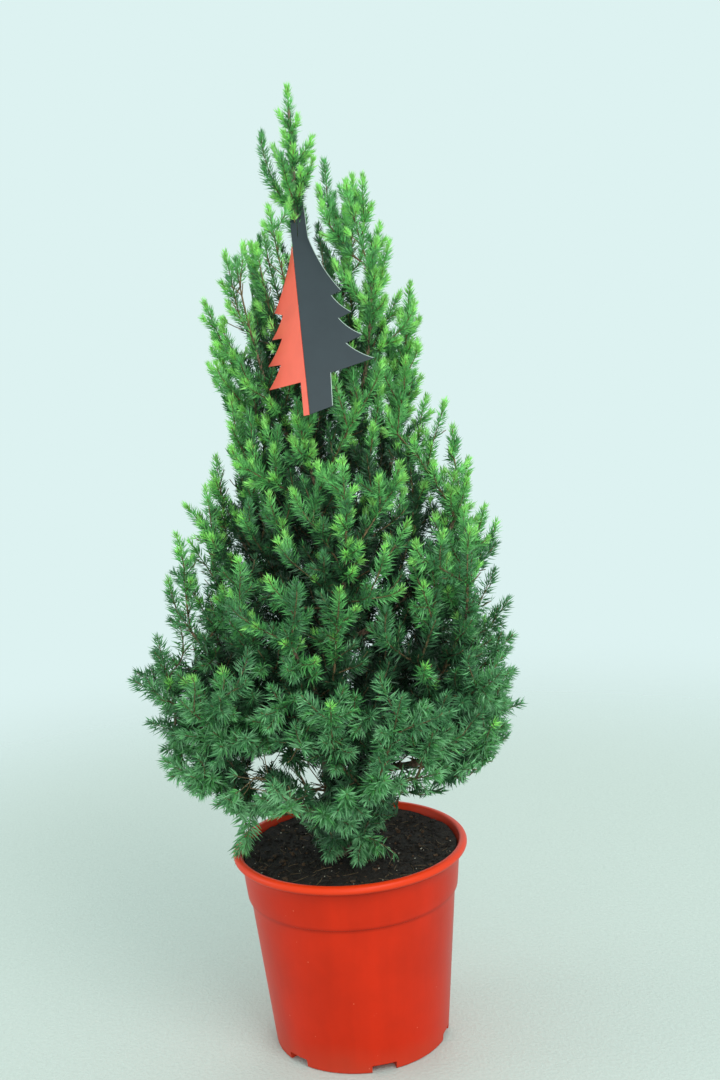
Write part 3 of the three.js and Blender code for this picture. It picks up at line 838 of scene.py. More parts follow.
def growth_at(points, random, scatter):
    """The way that shoots grow: away from the trunk and up, more steeply higher up and near it."""
    scatter = scatter * np.interp(points[:, 2], (0.35, 0.60), (0.17, 0.10))
    away = points - trunk_at(points[:, 2])
    reach = np.linalg.norm(away[:, :2], axis=1)
    turn = np.arctan2(away[:, 1], away[:, 0]) + scatter * 1.3 * random.normal(0, 1, len(points))
    near = np.clip(1 - reach / 0.09, 0, 1) * 18
    rise = np.radians(crown_at(points[:, 2], "rise") + near)
    rise = rise + scatter * random.normal(0, 1, len(points))
    return np.stack([np.cos(rise) * np.cos(turn), np.cos(rise) * np.sin(turn), np.sin(rise)], 1)


def curve_between(start, leave, end, arrive):
    """Points of a smooth curve that leaves and arrives in given directions, without its start."""
    span = np.linalg.norm(end - start)
    steps = max(2, int(round(span / SHOOT_STEP)))
    t = np.linspace(0, 1, steps + 1)[1:, None]
    pull = 0.85 * span
    return ((2 * t ** 3 - 3 * t ** 2 + 1) * start + (t ** 3 - 2 * t ** 2 + t) * pull * leave
            + (-2 * t ** 3 + 3 * t ** 2) * end + (t ** 3 - t ** 2) * pull * arrive)


class Skeleton:
    """The plant's wood as points, each knowing its parent, its direction and its limb."""

    most = 90_000
    shortest = 0.008  # the shortest twig
    least_ahead = 0.15  # how well a twig's way agrees with its tip's direction, as a cosine
    finest, stoutest, thickening = 0.00052, 0.0042, 0.36  # half thickness, and how tips add to it

    def __init__(self):
        self.points = np.zeros((self.most, 3))
        self.directions = np.zeros((self.most, 3))
        self.parents = np.full(self.most, -1)
        self.limbs = np.zeros(self.most, int)
        self.to_end = np.zeros(self.most)  # along the limb to its tip
        self.count = 0
        self.chains = []  # for each limb, its point numbers from the one that it grows out of
        self.traits = []  # for each limb, what kind of shoot it is

    def add(self, parent, points, **traits):
        """Adds a limb that grows out of a point. Returns the numbers of its new points."""
        new = np.arange(self.count, self.count + len(points))
        self.count += len(points)
        start = points[:1] if parent < 0 else self.points[[parent]]
        line = np.concatenate([start, points])
        steps = np.diff(line, axis=0)
        lengths = np.linalg.norm(steps, axis=1)
        self.points[new] = points
        self.directions[new] = unit(steps) if parent >= 0 else unit(np.gradient(points, axis=0))
        self.parents[new] = np.concatenate([[parent], new[:-1]])
        self.to_end[new] = lengths[::-1].cumsum()[::-1] - lengths
        self.limbs[new] = len(self.chains)
        self.chains.append(np.concatenate([[parent], new]) if parent >= 0 else new)
        self.traits.append(traits)
        return new

    def ends(self):
        """The tip of every limb."""
        return np.array([self.points[chain[-1]] for chain in self.chains])

    def grow(self, tips, arrive, traits, blocked, longest=0.16):
        """Joins every tip to the wood by a twig, easiest first, so that twigs branch from twigs."""
        cost = np.full(len(tips), np.inf)
        swerve = np.interp(tips[:, 2], (0.40, 0.62), (1.3, 3.4))[:, None]
        source = np.zeros(len(tips), int)
        waiting = np.ones(len(tips), bool)

        def consider(nodes):
            nodes = nodes[self.to_end[nodes] > TIP_GAP]
            if not len(nodes) or not waiting.any():
                return
            rows = np.flatnonzero(waiting)
            way = tips[rows, None] - self.points[nodes][None]
            span = np.linalg.norm(way, axis=2)
            ahead = np.einsum("rni,ri->rn", way, arrive[rows]) / span
            along = np.einsum("rni,ni->rn", way, self.directions[nodes]) / span
            price = span * (1 + swerve[rows] * (1 - ahead) + 0.55 * swerve[rows] * (1 - along))
            never = (ahead < self.least_ahead) | (span < self.shortest)
            price = np.where(never, np.inf, price)
            best = price.argmin(1)
            lowest = price[np.arange(len(rows)), best]
            better = lowest < cost[rows]
            cost[rows[better]] = lowest[better]
            source[rows[better]] = nodes[best[better]]

        for block in np.array_split(np.arange(self.count), max(1, self.count // 400)):
            consider(block)
        while waiting.any():
            pick = int(np.argmin(np.where(waiting, cost, np.inf)))
            if not cost[pick] < longest:
                break
            waiting[pick] = False
            parent = source[pick]
            straight = unit(tips[pick] - self.points[parent])
            leave = unit(0.55 * self.directions[parent] + straight)
            line = curve_between(self.points[parent], leave, tips[pick], arrive[pick])
            if not blocked(line[2:]).any():
                consider(self.add(parent, line, **traits[pick]))

    def stand(self, tip, way, straight, blocked, **traits):
        """Adds a shoot with a straight last stretch, grown on from the nearest wood behind it."""
        foot = tip - way * straight
        span = foot - self.points[:self.count]
        far = np.linalg.norm(span, axis=1)
        ahead = (span @ (way + [0, 0, 0.3])) / far
        spare = np.where(self.to_end[:self.count] > TIP_GAP, 0, 0.1)
        out = np.linalg.norm((foot - trunk_at(foot[2]))[:2])
        wood = self.points[:self.count]
        reach = np.linalg.norm((wood - trunk_at(wood[:, 2]))[:, :2], axis=1)
        beyond = 4 * np.clip(0.015 - span @ way, 0, 1)
        turning = 0.9 * np.clip(0.7 - ahead, 0, 1)
        price = far * (1 + turning) + spare + np.clip(reach - out, 0, 1) + beyond
        parent = int(np.argmin(price))
        towards = unit(span[parent])
        bend = unit(0.6 * towards + way)
        line = np.concatenate([curve_between(self.points[parent], towards, foot, bend),
                               curve_between(foot, bend, tip, way)])
        if not blocked(line[2:]).any():
            self.add(parent, line, **traits)

    def radii(self):
        """Half thickness at every point, from how many tips it carries."""
        carried = np.zeros(self.count)
        for chain in self.chains:
            carried[chain[-1]] += 1
        for i in range(self.count - 1, -1, -1):
            if self.parents[i] >= 0:
                carried[self.parents[i]] += carried[i]
        return np.minimum(self.finest * carried ** self.thickening, self.stoutest)


def bough_ends(node):
    """Where a CAD bough leaves the trunk and where it ends."""
    points = np.unique(corners(node).round(5), axis=0)
    middle = points.mean(0)
    outwards = unit(middle - trunk_at(middle[2] - 0.02))
    reach = points @ outwards
    end = points[np.argsort(reach)[-4:]].mean(0)
    along = unit(end - middle)
    level = np.linalg.norm((middle - trunk_at(middle[2]))[:2])
    run = level / max(np.linalg.norm(along[:2]), 0.2)
    start = middle - along * run
    return trunk_at(start[2]), end


def shoot_tips(node, entry, most=5, apart=0.034):
    """The ends of a CAD mass's shoots: its furthest corners, well apart."""
    points = np.unique(corners(node).round(5), axis=0)
    reach = np.linalg.norm(points - entry, axis=1)
    tips = []
    for i in np.argsort(-reach):
        if reach[i] < 0.55 * reach.max() or len(tips) == most:
            break
        if all(np.linalg.norm(points[i] - tip) > apart for tip in tips):
            tips.append(points[i])
    return np.array(tips)


def needle_reach(heights):
    """How far needles stand out sideways from a twig."""
    angle = np.radians(crown_at(heights, "needle_angle"))
    return crown_at(heights, "needle_length") * np.sin(angle)


def shoots(kind, count, random):
    """What new shoots are: their kind, and for each one where its green lies between the tones."""
    return [{"kind": kind, "tone": random.random()} for _ in range(count)]


class CrownReach:
    """How far the crown reaches from the trunk in each direction and at each height."""

    around = 40
    step = 0.012

    def __init__(self, points):
        self.low = points[:, 2].min()
        rows = int((points[:, 2].max() - self.low) / self.step) + 2
        turn, level, reach = self.cells(points)
        grid = np.zeros((self.around, rows))
        np.maximum.at(grid, (turn.astype(int) % self.around, level.astype(int)), reach)
        for axis in (0, 1):
            grid = np.maximum.reduce([np.roll(grid, shift, axis) for shift in (-1, 0, 1)])
        for axis in (0, 1):
            grid = sum(np.roll(grid, shift, axis) for shift in (-1, 0, 1)) / 3
        self.grid = grid

    def cells(self, points):
        """Each point's direction and height in cells, and its distance from the trunk."""
        away = points - trunk_at(points[:, 2])
        turn = (np.arctan2(away[:, 1], away[:, 0]) / (2 * math.pi)) % 1 * self.around
        level = (points[:, 2] - self.low) / self.step
        return turn, level, np.linalg.norm(away[:, :2], axis=1)

    def depth(self, points):
        """How far each point lies inside the crown's outline."""
        turn, level, reach = self.cells(points)
        turn, level = turn - 0.5, np.clip(level - 0.5, 0, self.grid.shape[1] - 1.001)
        i, j = np.floor(turn).astype(int), level.astype(int)
        s, t = turn - i, level - j
        i, k = i % self.around, (i + 1) % self.around
        outline = ((1 - s) * (1 - t) * self.grid[i, j] + s * (1 - t) * self.grid[k, j]
                   + (1 - s) * t * self.grid[i, j + 1] + s * t * self.grid[k, j + 1])
        return outline - reach


def leading_shoots(skeleton, random, blocked):
    """The trunk, every bough's main limb, and the leading shoots at the crown's furthest tips."""
    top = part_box("foliage_leader")[1].z
    heights = np.append(np.arange(TRUNK[0, 0], TRUNK[-1, 0] - 0.004, SHOOT_STEP), top - 0.007)
    stem = skeleton.add(-1, trunk_at(heights), kind="leader", tone=1.0)
    leaders = []
    for bough in BOUGHS:
        mass = bough.replace("bough_", "foliage_")
        start, end = bough_ends(bough)
        tips = shoot_tips(mass, end)
        way = growth_at(tips, random, 0.3)
        tips = tips - way * 0.006
        origin = int(np.argmin(np.linalg.norm(skeleton.points[stem] - start, axis=1)))
        outwards = unit(end - start)
        first = curve_between(skeleton.points[origin], unit(outwards + [0, 0, 0.2]), end, outwards)
        last = curve_between(end, outwards, tips[0], way[0])
        limb = np.concatenate([first, last])
        clear = let_in(limb, np.ones(len(limb)), 1.0, WINDOWS + CLEARINGS)
        if clear.mean() > 0.75:
            limb = limb[:np.flatnonzero(clear)[-1] + 1]
            skeleton.add(origin, limb, kind="main", tone=random.random())
        clear = let_in(tips[1:], np.ones(len(tips) - 1))
        leaders += list(zip(tips[1:][clear], way[1:][clear]))
    for i, (below_top, reach) in enumerate(LEADER["side_shoots"]):
        turn = math.radians(LEADER["first"] + i * SPIRAL)
        side = np.array([math.cos(turn), math.sin(turn), 0.0])
        tip = trunk_at(0.9) * [1, 1, 0] + side * reach + [0, 0, top - below_top]
        leaders.append((tip, unit(side * 0.2 + [0, 0, 1])))
    sides, side_ways = [], []
    for across, up, lean in sorted(STANDING_OUT, key=lambda shoot: shoot[1]):
        lean = math.radians(lean)
        depth = random.uniform(-0.022, 0.022)
        toward = np.array([math.sin(lean) * np.sign(across), 3 * depth, math.cos(lean)])
        side_ways.append(unit(toward))
        sides.append(np.array([across, depth, up]) - 0.004 * side_ways[-1])
    tips, way = (np.array(part) for part in zip(*leaders))
    apart = np.linalg.norm(tips[:, None] - np.array(sides)[None], axis=2).min(1) > 0.022
    leads = shoots("lead", apart.sum(), random)
    skeleton.grow(tips[apart], way[apart], leads, blocked, longest=0.4)
    for tip, toward in zip(sides, side_ways):
        tone = random.random()
        skeleton.stand(tip, toward, STRAIGHT["lead"], blocked, kind="lead", tone=tone)
    hang = unit(np.array([-0.25, -0.1, -1.0]))
    for tip in np.array(HANGING):
        skeleton.stand(tip, hang, STRAIGHT["hanging"], blocked, kind="hanging", tone=0.2)

    sprigs, way = [], []
    for chain, traits in zip(skeleton.chains, skeleton.traits):
        if traits["kind"] not in ("lead", "main"):
            continue
        for number, back in enumerate(np.arange(SPRIGS["from"], SPRIGS["to"], SPRIGS["every"])):
            node = chain[np.argmin(np.abs(skeleton.to_end[chain] - back))]
            if skeleton.points[node][2] < SPRIGS["above"] or skeleton.to_end[chain[1]] < back:
                continue
            first, second = perpendiculars(skeleton.directions[[node]])
            turn = traits["tone"] * 6 + number * math.radians(SPIRAL)
            side = math.cos(turn) * first[0] + math.sin(turn) * second[0]
            lean = unit(skeleton.directions[node] + SPRIGS["lean"] * side)
            sprigs.append(skeleton.points[node] + lean * (0.010 + 0.22 * back))
            way.append(unit(lean + [0, 0, 0.6]))
    traits = shoots("sprig", len(sprigs), random)
    skeleton.grow(np.array(sprigs), np.array(way), traits, blocked)


def thinned(points, spacing, kept, radius_of_kept):
    """The numbers of points that stand at least their spacing from those kept before them."""
    fixed = len(kept)
    held = np.zeros((fixed + len(points), 3))
    held[:fixed] = kept
    count = fixed
    chosen = []
    for i, point in enumerate(points):
        gap = np.linalg.norm(held[:count] - point, axis=1)
        if (gap[:fixed] < radius_of_kept).any() or (gap[fixed:] < spacing[i]).any():
            continue
        held[count] = point
        count += 1
        chosen.append(i)
    return np.array(chosen, int)


def openness(points, normals, way, tree):
    """The share of directions, round the way that a shoot grows, that leave the crown."""
    first, second = perpendiculars(way)
    free = np.zeros(len(points))
    rays = [way]
    for angle in np.radians((45, 135, 225, 315)):
        rays.append(unit(way + 1.1 * (math.cos(angle) * first + math.sin(angle) * second)))
    for ray in rays:
        for i, (point, normal, direction) in enumerate(zip(points, normals, ray)):
            if tree.ray_cast(Vector(point + normal * 0.002), Vector(direction), 0.09)[0] is None:
                free[i] += 1 / len(rays)
    return free


class LabelSpace:
    """The space round the label that foliage stays out of."""

    def __init__(self):
        self.leaves = []
        for node, ahead in BEFORE_LABEL.items():
            self.leaves.append((surface_tree([node]), Vector(leaf_plane(node)[1]), ahead))
        self.low = np.array(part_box("label_front")[0]) - [0.05, 0.09, 0.012]
        self.high = np.array(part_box("label_front")[1]) + [0.012, 0.012, -0.006]

    def holds(self, points):
        """Whether each point is before a leaf or touches its back."""
        inside = np.zeros(len(points), bool)
        for i in np.flatnonzero(((points > self.low) & (points < self.high)).all(1)):
            spot = Vector(points[i])
            for tree, facing, ahead in self.leaves:
                before = tree.ray_cast(spot, -facing, ahead)[0]
                if before or tree.ray_cast(spot, facing, BACK_OF_LABEL)[0]:
                    inside[i] = True
        return inside


def let_in(points, chance, grown=1.0, spaces=WINDOWS + CLEARINGS + GAPS):
    """Whether foliage is let in at each point: always outside the spaces, and seldom inside one."""
    eye = np.array(SEEN_FROM)
    away = points - eye
    seen = eye + away * (-eye[1] / np.maximum(away[:, 1], 0.1))[:, None]
    kept = np.ones(len(points), bool)
    for middle, height, half_width, half_height, share in spaces:
        across, up = (seen[:, 0] - middle) / half_width, (seen[:, 2] - height) / half_height
        turn = np.arctan2(up, across)
        edge = 1 + 0.16 * np.sin(3 * turn + 40 * middle) + 0.12 * np.sin(7 * turn + 90 * height)
        kept &= (np.hypot(across, up) > grown * edge) | (chance < share)
    reach = np.linalg.norm((points - trunk_at(points[:, 2]))[:, :2], axis=1)
    lowest = np.interp(reach, *np.array(UNDERSIDE).T, left=0)
    return kept & ((points[:, 2] > lowest) | (chance < 0.12))


def in_pot(points, margin=0.0):
    """Whether each point is in the potting mix, the rim or the pot's wall."""
    rim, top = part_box("pot")[1].x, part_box("pot")[1].z
    radius = np.linalg.norm(points[:, :2], axis=1)
    soil = (radius < rim - 0.009) & (points[:, 2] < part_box("trunk")[0].z + 0.002 + margin)
    ring = (radius >= rim - 0.0105 - margin) & (radius < rim + margin)
    return soil | ring & (points[:, 2] < top + margin)


def on_masses(random, count):
    """Even random points on the masses, with the faces' normals."""
    faces = np.concatenate([triangles(mass) for mass in MASSES])
    normals = np.cross(faces[:, 1] - faces[:, 0], faces[:, 2] - faces[:, 0])
    areas = np.linalg.norm(normals, axis=1)
    pick = random.choice(len(faces), count, p=areas / areas.sum())
    a, b = random.random((2, count, 1))
    flip = a + b > 1
    a, b = np.where(flip, 1 - a, a), np.where(flip, 1 - b, b)
    corner = faces[pick]
    points = corner[:, 0] + a * (corner[:, 1] - corner[:, 0]) + b * (corner[:, 2] - corner[:, 0])
    return points, unit(normals[pick])


def between_masses(random, count, outline, tree):
    """Random points near the crown's outline that lie in the narrow spaces between the masses."""
    low, high = outline.low, outline.low + outline.step * outline.grid.shape[1]
    turn = random.random(count) * 2 * math.pi
    heights = random.uniform(low, high, count)
    outwards = np.stack([np.cos(turn), np.sin(turn), np.zeros(count)], 1)
    axis = trunk_at(heights)
    reach = outline.depth(axis)
    kept = random.random(count) < reach / 0.19
    reach = outline.depth(axis + outwards * 1e-6)
    kept &= heights > 0.27
    points = axis + outwards * (reach - 0.016 * random.random(count))[:, None]
    near = np.interp(heights, (0.45, 0.60), (0.024, 0.012))
    for i in np.flatnonzero(kept):
        kept[i] = tree.find_nearest(Vector(points[i]), near[i])[0] is not None
    return points[kept], unit(outwards[kept] + [0, 0, 0.25])


def grow_plant():
    """The whole skeleton: leading shoots, then the outer crown, then the shaded shoots inside."""
    sampled, used = 26_000, 20_000
    random = np.random.default_rng(SEED["plant"])
    skeleton = Skeleton()
    space = LabelSpace()

    def blocked(points):
        """Whether a twig can't pass."""
        return space.holds(points) | ~let_in(points, np.ones(len(points)), 0.9, CLEARINGS + GAPS)

    def clear(tips, margin):
        """Whether a tip is clear of the label, the pot and the open spaces."""
        allowed = ~space.holds(tips) & ~in_pot(tips, margin)
        return allowed & let_in(tips, random.random(len(tips)), 1.15)

    def grow_some(kind, tips, rows):
        """Grows the numbered shoots that stand far enough apart."""
        share, from_others = APART[kind]
        rows = rows[thinned(tips[rows], spacing[rows] * share, skeleton.ends(), from_others)]
        traits = shoots(kind, len(rows), random)
        skeleton.grow(tips[rows], arrive[rows], traits, blocked)

    leading_shoots(skeleton, random, space.holds)
    tree = surface_tree(MASSES)

    points, normals = on_masses(random, sampled)
    outline = CrownReach(points)
    filling, filling_normals = between_masses(random, sampled, outline, tree)
    points = np.concatenate([points[:used], filling])
    normals = np.concatenate([normals[:used], filling_normals])
    mixed = random.permutation(len(points))
    points, normals = points[mixed], normals[mixed]
    way = growth_at(points, random, 1.0)
    facing = (normals * way).sum(1)
    open_share = openness(points, normals, way, tree)
    height = points[:, 2]
    spacing = crown_at(height, "tip_spacing")
    inset = points - normals * (needle_reach(height) * 0.8)[:, None]
    arrive = unit(way + np.interp(height, (0.36, 0.50), (0.35, 0.08))[:, None] * normals)
    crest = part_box("foliage_leader")[1].z - 0.03
    free = (facing > -0.45) & (open_share > 0.3) & (height < crest)

    push = np.interp(height, (0.5, 0.62), (0.012, 0.004))[:, None]
    proud = inset + way * (0.002 + push * random.random((len(points), 1)))
    rows = np.flatnonzero(free & (facing > 0.1) & (height > 0.33) & ~space.holds(proud))
    grow_some("proud", proud, rows)

    recess = np.interp(height, (0.34, 0.44, 0.75, 0.85), (0, 0.007, 0.007, 0.003))[:, None]
    back = 0.003 + 0.028 * random.random((len(points), 1)) ** 1.5
    tips = inset - normals * recess - way * back
    grow_some("outer", tips, np.flatnonzero(free & clear(tips, 0.004)))

    deeper = tips - way * random.uniform(0.020, 0.070, (len(tips), 1)) - normals * 0.012
    order = random.permutation(len(deeper))
    kept = clear(deeper, 0.006)
    kept &= outline.depth(deeper) > np.interp(deeper[:, 2], (0.3, 0.6, 0.8), (0.034, 0.026, 0.024))
    level, turn, reach = random.uniform((0.42, 0, 0.010), (0.74, 2 * math.pi, 0.036), (420, 3)).T
    core = trunk_at(level) + np.stack([reach * np.cos(turn), reach * np.sin(turn), 0 * level], 1)
    core = core[~space.holds(core)]
    core = core[thinned(core, np.full(len(core), 0.014), skeleton.ends(), 0.012)]
    traits = shoots("inner", len(core), random)
    skeleton.grow(core, growth_at(core, random, 0.5), traits, blocked)
    grow_some("inner", deeper, order[kept[order]])
    return skeleton, space, outline


# ---- Wood ----


def tubes(lines, sides):
    """Tapered closed tubes along lines of points, each given with its half thickness all along."""
    all_points, all_faces, offset = [], [], 0
    angles = np.arange(sides) * 2 * math.pi / sides
    for line, radius in lines:
        tangent = unit(np.gradient(line, axis=0))
        helper = np.eye(3)[np.argmin(np.abs(tangent.mean(0)))]
        first = unit(np.cross(tangent, helper))
        second = np.cross(tangent, first)
        ring = np.cos(angles)[:, None, None] * first + np.sin(angles)[:, None, None] * second
        rings = (line + ring * np.asarray(radius)[None, :, None]).transpose(1, 0, 2)
        count = len(line)
        all_points += [rings.reshape(-1, 3), line[:1], line[-1:] + tangent[-1:] * radius[-1]]
        step = np.arange(count - 1)[:, None] * sides
        here = np.arange(sides)
        after = (here + 1) % sides
        a, b, c, d = step + here, step + after, step + sides + after, step + sides + here
        lower = np.stack([a, b, c], -1).reshape(-1, 3)
        upper = np.stack([a, c, d], -1).reshape(-1, 3)
        base, end = count * sides, count * sides + 1
        start_cap = np.stack([after, here, np.full(sides, base)], -1)
        last = (count - 1) * sides
        end_cap = np.stack([last + here, last + after, np.full(sides, end)], -1)
        all_faces.append(np.concatenate([lower, upper, start_cap, end_cap]) + offset)
        offset += count * sides + 2
    return np.concatenate(all_points), np.concatenate(all_faces)


def edges_of(ring):
    """The edges that join a ring's vertices."""
    verts = set(ring)
    return [edge for edge in dict.fromkeys(e for vert in ring for e in vert.link_edges)
            if all(vert in verts for vert in edge.verts)]


def limb_tube(bm, line, radii, sides, relief, grain):
    """A limb of extruded rings with its bark's relief raised along its normals."""
    tangents = unit(np.gradient(line, axis=0))
    first = perpendiculars(unit(tangents.mean(0))[None])[0][0]
    ring = bmesh.ops.create_circle(bm, cap_ends=True, segments=sides, radius=1)["verts"]
    made = list(ring)
    before = Matrix.Identity(4)
    for centre, tangent, radius in zip(line, tangents, radii):
        first = unit(first - tangent * (first @ tangent))
        axes = np.column_stack([first, np.cross(tangent, first), tangent]) * radius
        place = Matrix(axes.tolist()).to_4x4()
        place.translation = Vector(centre)
        if before != Matrix.Identity(4):
            grown = bmesh.ops.extrude_edge_only(bm, edges=edges_of(ring))["geom"]
            ring = [item for item in grown if isinstance(item, bmesh.types.BMVert)]
            made += ring
        bmesh.ops.transform(bm, matrix=place @ before.inverted(), verts=ring)
        before = place
    bmesh.ops.contextual_create(bm, geom=edges_of(ring))
    centres = np.repeat(line, sides, axis=0)
    for vert, centre in zip(made, centres):
        out = vert.co - Vector(centre)
        spot = Vector((vert.co.x, vert.co.y, vert.co.z * 0.45))
        rough = noise.noise(spot * grain) + 0.6 * abs(noise.noise(spot * grain * 2.7))
        vert.co += out.normalized() * relief * rough * min(1.0, out.length / 0.003)


def build_trunk():
    """The stem from just under the mix to its tip, with finer relief where it can be seen."""
    heights = np.concatenate([np.arange(TRUNK[0, 0] - 0.003, 0.36, 0.0022),
                              np.arange(0.36, TRUNK[-1, 0], 0.005)])
    line = trunk_at(heights)
    bm = bmesh.new()
    limb_tube(bm, line, trunk_radius(heights), SIDES["trunk"], relief=0.0011, grain=210)
    bmesh.ops.recalc_face_normals(bm, faces=bm.faces[:])
    material = bark_finish("trunk_bark", linear(112, 92, 74), linear(152, 136, 118), 300)
    mesh = mesh_of("trunk_bark", bm, smooth_under=SHARP["bark"])
    piece("trunk_bark", mesh, [material], ["trunk"])


def build_boughs(skeleton, radii):
    """The main limb of every bough, out to where it is no thicker than a twig."""
    bm = bmesh.new()
    for chain, traits in zip(skeleton.chains, skeleton.traits):
        if traits["kind"] != "main":
            continue
        thick = chain[:max(6, int((radii[chain] > TWIG_RADIUS).sum()))]
        radius = np.maximum(radii[thick], TWIG_RADIUS)
        radius[0] = radius[1]
        limb_tube(bm, skeleton.points[thick], radius, SIDES["bough"], relief=0.00045, grain=420)
    bmesh.ops.recalc_face_normals(bm, faces=bm.faces[:])
    material = bark_finish("bough_bark", linear(104, 82, 62), linear(146, 122, 98), 420)
    mesh = mesh_of("boughs", bm, smooth_under=SHARP["bark"])
    piece("boughs", mesh, [material], BOUGHS)


def build_twigs(skeleton, radii):
    """All other wood: grey-brown where it is old and orange-brown near the tips."""
    old, young = [], []
    for chain, traits in zip(skeleton.chains, skeleton.traits):
        radius = radii[chain].copy()
        radius[0] = min(radius[0], radius[1] * 1.3)
        if traits["kind"] == "leader":
            first = int(np.searchsorted(skeleton.points[chain][:, 2], 0.80))
        elif traits["kind"] == "main":
            first = max(5, int((radius > TWIG_RADIUS).sum()) - 1)
        else:
            first = 0
        turn = max(first, int((skeleton.to_end[chain[1:]] > 0.075).sum()))
        if turn > first + 1:
            old.append((skeleton.points[chain[first:turn + 1]], radius[first:turn + 1]))
        if len(chain) - turn > 1:
            young.append((skeleton.points[chain[turn:]], radius[turn:]))
    for name, lines, colour, pale in (
        ("twigs_old", old, linear(90, 74, 58), linear(126, 106, 84)),
        ("twigs_young", young, linear(104, 86, 56), linear(138, 116, 78)),
    ):
        points, faces = tubes(lines, SIDES["twig"])
        material = bark_finish(name, colour, pale, 700)
        piece(name, mesh_from_arrays(name, points, faces, smooth=True), [material], MASSES)


# ---- Needles ----

# The two darkest tones are painted shade: darker copies of the green for needles deep inside the
# crown and on the inner shoots.
TONES = {
    "deep": linear(30, 62, 38),
    "shade": linear(46, 90, 54),
    "blue": linear(71, 127, 80),
    # Partly the lower tips' own paler blue-green, partly painted light where the lamps reach the
    # low crown less.
    "pale_blue": linear(112, 171, 116),
    "mid": linear(68, 131, 71),
    "leaf": linear(90, 163, 88),
    "young": linear(110, 186, 100),
    "fresh": linear(140, 212, 104),
    "dry": linear(124, 104, 62),
}


def needle_tones(random, height, below, depth, tone, inner, lively):
    """The name of every needle's tone, from where it is, its distance to the tip and its spray."""
    upper = np.clip((height - 0.36) / 0.24, 0, 1)
    tone = tone + random.normal(0, 0.30, len(tone))  # needles of a spray differ a little
    # Partly painted light: low in the crown more needles take the paler tone, making up for the
    # light that reaches it less.
    names = np.where(tone < np.interp(height, (0.26, 0.36), (0.80, 0.50)), "pale_blue", "blue")
    names = np.where(tone < 0.10 + 0.90 * upper, "mid", names)
    names = np.where(tone < 0.80 * upper - 0.12, "leaf", names)
    names = np.where((below < 0.026) & lively & (upper > 0.15), "leaf", names)
    youngest = below < np.interp(height, (0.5, 0.75), (0.015, 0.024))
    names = np.where(youngest & lively & (upper > 0.4), "young", names)
    # Painted shade: the further a needle lies inside the crown's outline and behind its tip, the
    # darker its tone, less so low down.
    painted_shade_depth = depth + 0.5 * np.clip(below - 0.06, 0, 0.1) + 0.02 * (tone - 0.5)
    painted_shade_depth = painted_shade_depth - np.interp(height, (0.20, 0.29), (0.06, 0.0))
    for name, limits in (("shade", (0.040, 0.036, 0.045)), ("deep", (0.072, 0.060, 0.080))):
        names = np.where(painted_shade_depth > np.interp(height, (0.3, 0.6, 0.85), limits), name, names)
    # Painted shade: needles on the inner shoots lower than 0.72 m take the shade tone.
    names = np.where(inner & (names != "deep") & (height < 0.72), "shade", names)
    bright = np.interp(height, (0.30, 0.42, 0.60, 0.75), (0.004, 0.006, 0.008, 0.010))
    return np.where((below < bright) & ~inner & lively, "fresh", names)


